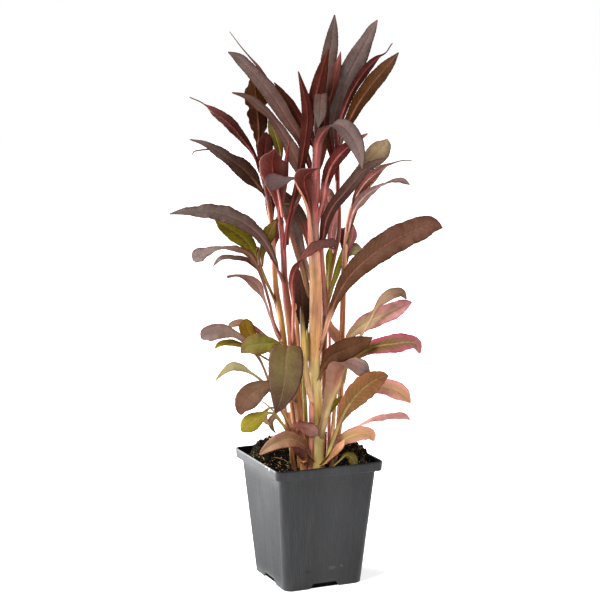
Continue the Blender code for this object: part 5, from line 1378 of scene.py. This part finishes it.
def chip(chance, place, size):
    """A rough chip of bark: an eight-cornered lump, flattened and turned at random."""
    corners = np.array([(x, y, z) for z in (-1, 1) for y in (-1, 1) for x in (-1, 1)], float)
    corners *= chance.uniform(0.5, 1.0, (8, 3)) * np.array([size, size * chance.uniform(0.4, 0.9), size * 0.4])
    axes = np.linalg.qr(chance.normal(size=(3, 3)))[0]
    if np.linalg.det(axes) < 0:
        axes[:, 0] *= -1
    return corners @ axes.T + np.array(place)


def fibre(chance, place, length, thick, rise):
    """A thin curved strand, three-sided, lying on the compost or sticking out of it."""
    heading = chance.uniform(0, 2 * math.pi)
    bend = chance.normal(0, 0.5)
    right = np.array([math.cos(heading + math.pi / 2), math.sin(heading + math.pi / 2), 0])
    steps = 6
    at = np.array(place, float)
    points = []
    for k in range(steps + 1):
        points += ring(at, thick * (1 - 0.6 * k / steps), right, np.array([0, 0, 1]), 3)
        angle = heading + bend * k / steps * 2
        at = at + length / steps * np.array([math.cos(angle), math.sin(angle), rise * (1 - 1.3 * k / steps)])
    return within_rim(points), ring_faces(steps + 1, 3)


def strand(line, thick, sides=4):
    """A thin rounded thread along a line of places."""
    along = unit(np.gradient(line, axis=0))
    right = unit(np.cross(along, (0.3, 0.2, 1.0)))
    up = np.cross(right, along)
    points = []
    for k, centre in enumerate(line):
        points += ring(centre, thick * (1 - 0.5 * abs(2 * k / (len(line) - 1) - 1)), right[k], up[k], sides)
    return points, ring_faces(len(line), sides)


def make_crumbs():
    """Black crumbs of peat over the compost, with chips of bark and small golden flecks between them, which are
    partly painted glints.
    """
    chance = np.random.default_rng(CRUMB_SEED)
    bits = []
    for x, y, z in scatter(chance, CRUMB_COUNT):
        kind = chance.choice(len(CRUMBS), p=CRUMB_SHARES)
        size = chance.uniform(0.35, 1.1) if chance.random() < 0.85 else chance.uniform(1.2, 2.3)
        lift = 0.2 * size
        # the golden crumbs, partly painted glints
        if kind == GOLDEN_GLINT:
            size = lift = chance.uniform(0.3, 0.75)
        bits.append((chip(chance, (x, y, z + lift), size), CUBE_FACES, CRUMBS[kind]))
    return join_bits("bark_crumbs", bits)


def on_soil(across, up):
    """Where the front view's point, mm, falls on the compost, in the pot's frame."""
    for away in np.arange(-60, 60, 0.5):
        x, y, z = in_pot(seen(across, up, away)) / MM
        level = rough_height(x, y) + 0.4
        if max(abs(x), abs(y)) < soil_half(POT_HEIGHT) - 1 and z <= level:
            return np.array([x, y, level])
    return np.array([0.0, 0.0, SOIL_LEVEL])


def make_fibres():
    """Coir and straw strands, the most of them in the heap at the back, and golden curled ones at the front."""
    chance = np.random.default_rng(FIBRE_SEED)
    bits = []
    for x, y, z in scatter(chance, FIBRE_COUNT):
        heaped = z > SOIL_LEVEL + FIBRE_HEAP
        rise = chance.uniform(0.1, 1.1) if heaped and chance.random() < 0.35 else chance.uniform(-0.05, 0.3)
        length = chance.uniform(2.5, 7.0)
        points, faces = fibre(chance, (x, y, z), length, chance.uniform(0.08, 0.22), rise)
        bits.append((points, faces, FIBRES[chance.choice(len(FIBRES), p=FIBRE_SHARES)]))
    for curl in CURLS:
        rows = [(*on_soil(*point), 0) for point in curl]
        bits.append((*strand(smooth_path(rows, 6 * len(rows))[:, :3], CURL_THICK), CURL_COLOUR))
    return join_bits("coir_fibres", bits)


def make_moss():
    """Low tufts of moss along the heap's crest."""
    chance = np.random.default_rng(MOSS_SEED)
    bits = []
    for x, y, z in [place for place in scatter(chance, MOSS_PLACES) if place[2] > SOIL_LEVEL + MOSS_HEAP]:
        for _ in range(MOSS_BLADES):
            at = (x + chance.normal(0, 0.9), y + chance.normal(0, 0.9), z)
            points, faces = fibre(chance, at, chance.uniform(1.2, 2.8), 0.2, chance.uniform(0.8, 2.2))
            bits.append((points, faces, MOSS[chance.integers(len(MOSS))]))
    return join_bits("moss_tufts", bits)


# The studio

def aim(thing, direction):
    """Turns a lamp or the camera to look along a direction."""
    thing.rotation_euler = Vector(direction).to_track_quat("-Z", "Y").to_euler()


def make_floor():
    mesh = bpy.data.meshes.new("floor")
    corners = [(x * FLOOR_REACH, y * FLOOR_REACH, 0) for x, y in ((-1, -1), (1, -1), (1, 1), (-1, 1))]
    mesh.from_pydata(corners, [], [(0, 1, 2, 3)])
    mesh.materials.append(floor_material())
    floor = add_object("floor", mesh)


def make_lights():
    sun = bpy.data.lights.new("key", "SUN")
    sun.energy = KEY_LIGHT
    sun.angle = math.radians(KEY_SPREAD)
    aim(add_object("key", sun), -turned(KEY_FROM))
    for name, place, size, power in LAMPS:
        light = bpy.data.lights.new(name, "AREA")
        light.size = size
        light.energy = power
        lamp = add_object(name, light)
        lamp.location = turned(place)
        aim(lamp, Vector((0, 0, LAMP_AIM)) - lamp.location)


def make_world():
    """A faint even light, which the camera sees as plain white."""
    world = bpy.data.worlds.new("studio")
    world.use_nodes = True
    nodes, links = world.node_tree.nodes, world.node_tree.links
    choose = nodes.new("ShaderNodeMixShader")
    links.new(nodes.new("ShaderNodeLightPath").outputs["Is Camera Ray"], choose.inputs[0])
    for k, (back, strength) in enumerate(((nodes["Background"], AMBIENT), (nodes.new("ShaderNodeBackground"), 1.0))):
        back.inputs["Color"].default_value = (1, 1, 1, 1)
        back.inputs["Strength"].default_value = strength
        links.new(back.outputs[0], choose.inputs[k + 1])
    links.new(choose.outputs[0], nodes["World Output"].inputs["Surface"])
    bpy.context.scene.world = world
    bpy.context.scene.view_settings.view_transform = "Standard"
    bpy.context.scene.view_settings.gamma = FILM_GAMMA


def make_camera():
    data = bpy.data.cameras.new("photo view")
    data.lens = LENS
    data.sensor_width = SENSOR
    camera = add_object("photo view", data)
    camera.location = in_pot((EYE_ACROSS, -EYE_AWAY, EYE_UP))
    aim(camera, Vector(in_pot((EYE_ACROSS, 0, AIM_UP))) - camera.location)
    bpy.context.scene.camera = camera


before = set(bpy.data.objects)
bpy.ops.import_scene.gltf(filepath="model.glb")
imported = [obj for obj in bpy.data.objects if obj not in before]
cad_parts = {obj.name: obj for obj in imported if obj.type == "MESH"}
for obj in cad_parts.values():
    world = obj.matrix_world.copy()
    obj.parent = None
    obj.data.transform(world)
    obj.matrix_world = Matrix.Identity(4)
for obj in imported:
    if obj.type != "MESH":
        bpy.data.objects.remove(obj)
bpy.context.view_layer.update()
LEAF_TOP = leaf_material("leaf upper side", "upper", rib_share=0.6, vein_share=0.12, roughness=0.5)
LEAF_UNDER = leaf_material("leaf under side", "under", rib_share=0.75, vein_share=0.1, roughness=0.44)
STEM_SKIN = stem_material()
CRUMB = crumb_material()
for make in (make_camera, make_floor, make_lights, make_world, make_pot, make_soil, make_crumbs, make_fibres,
             make_moss, make_stems, make_stalks, make_leaves):
    make()
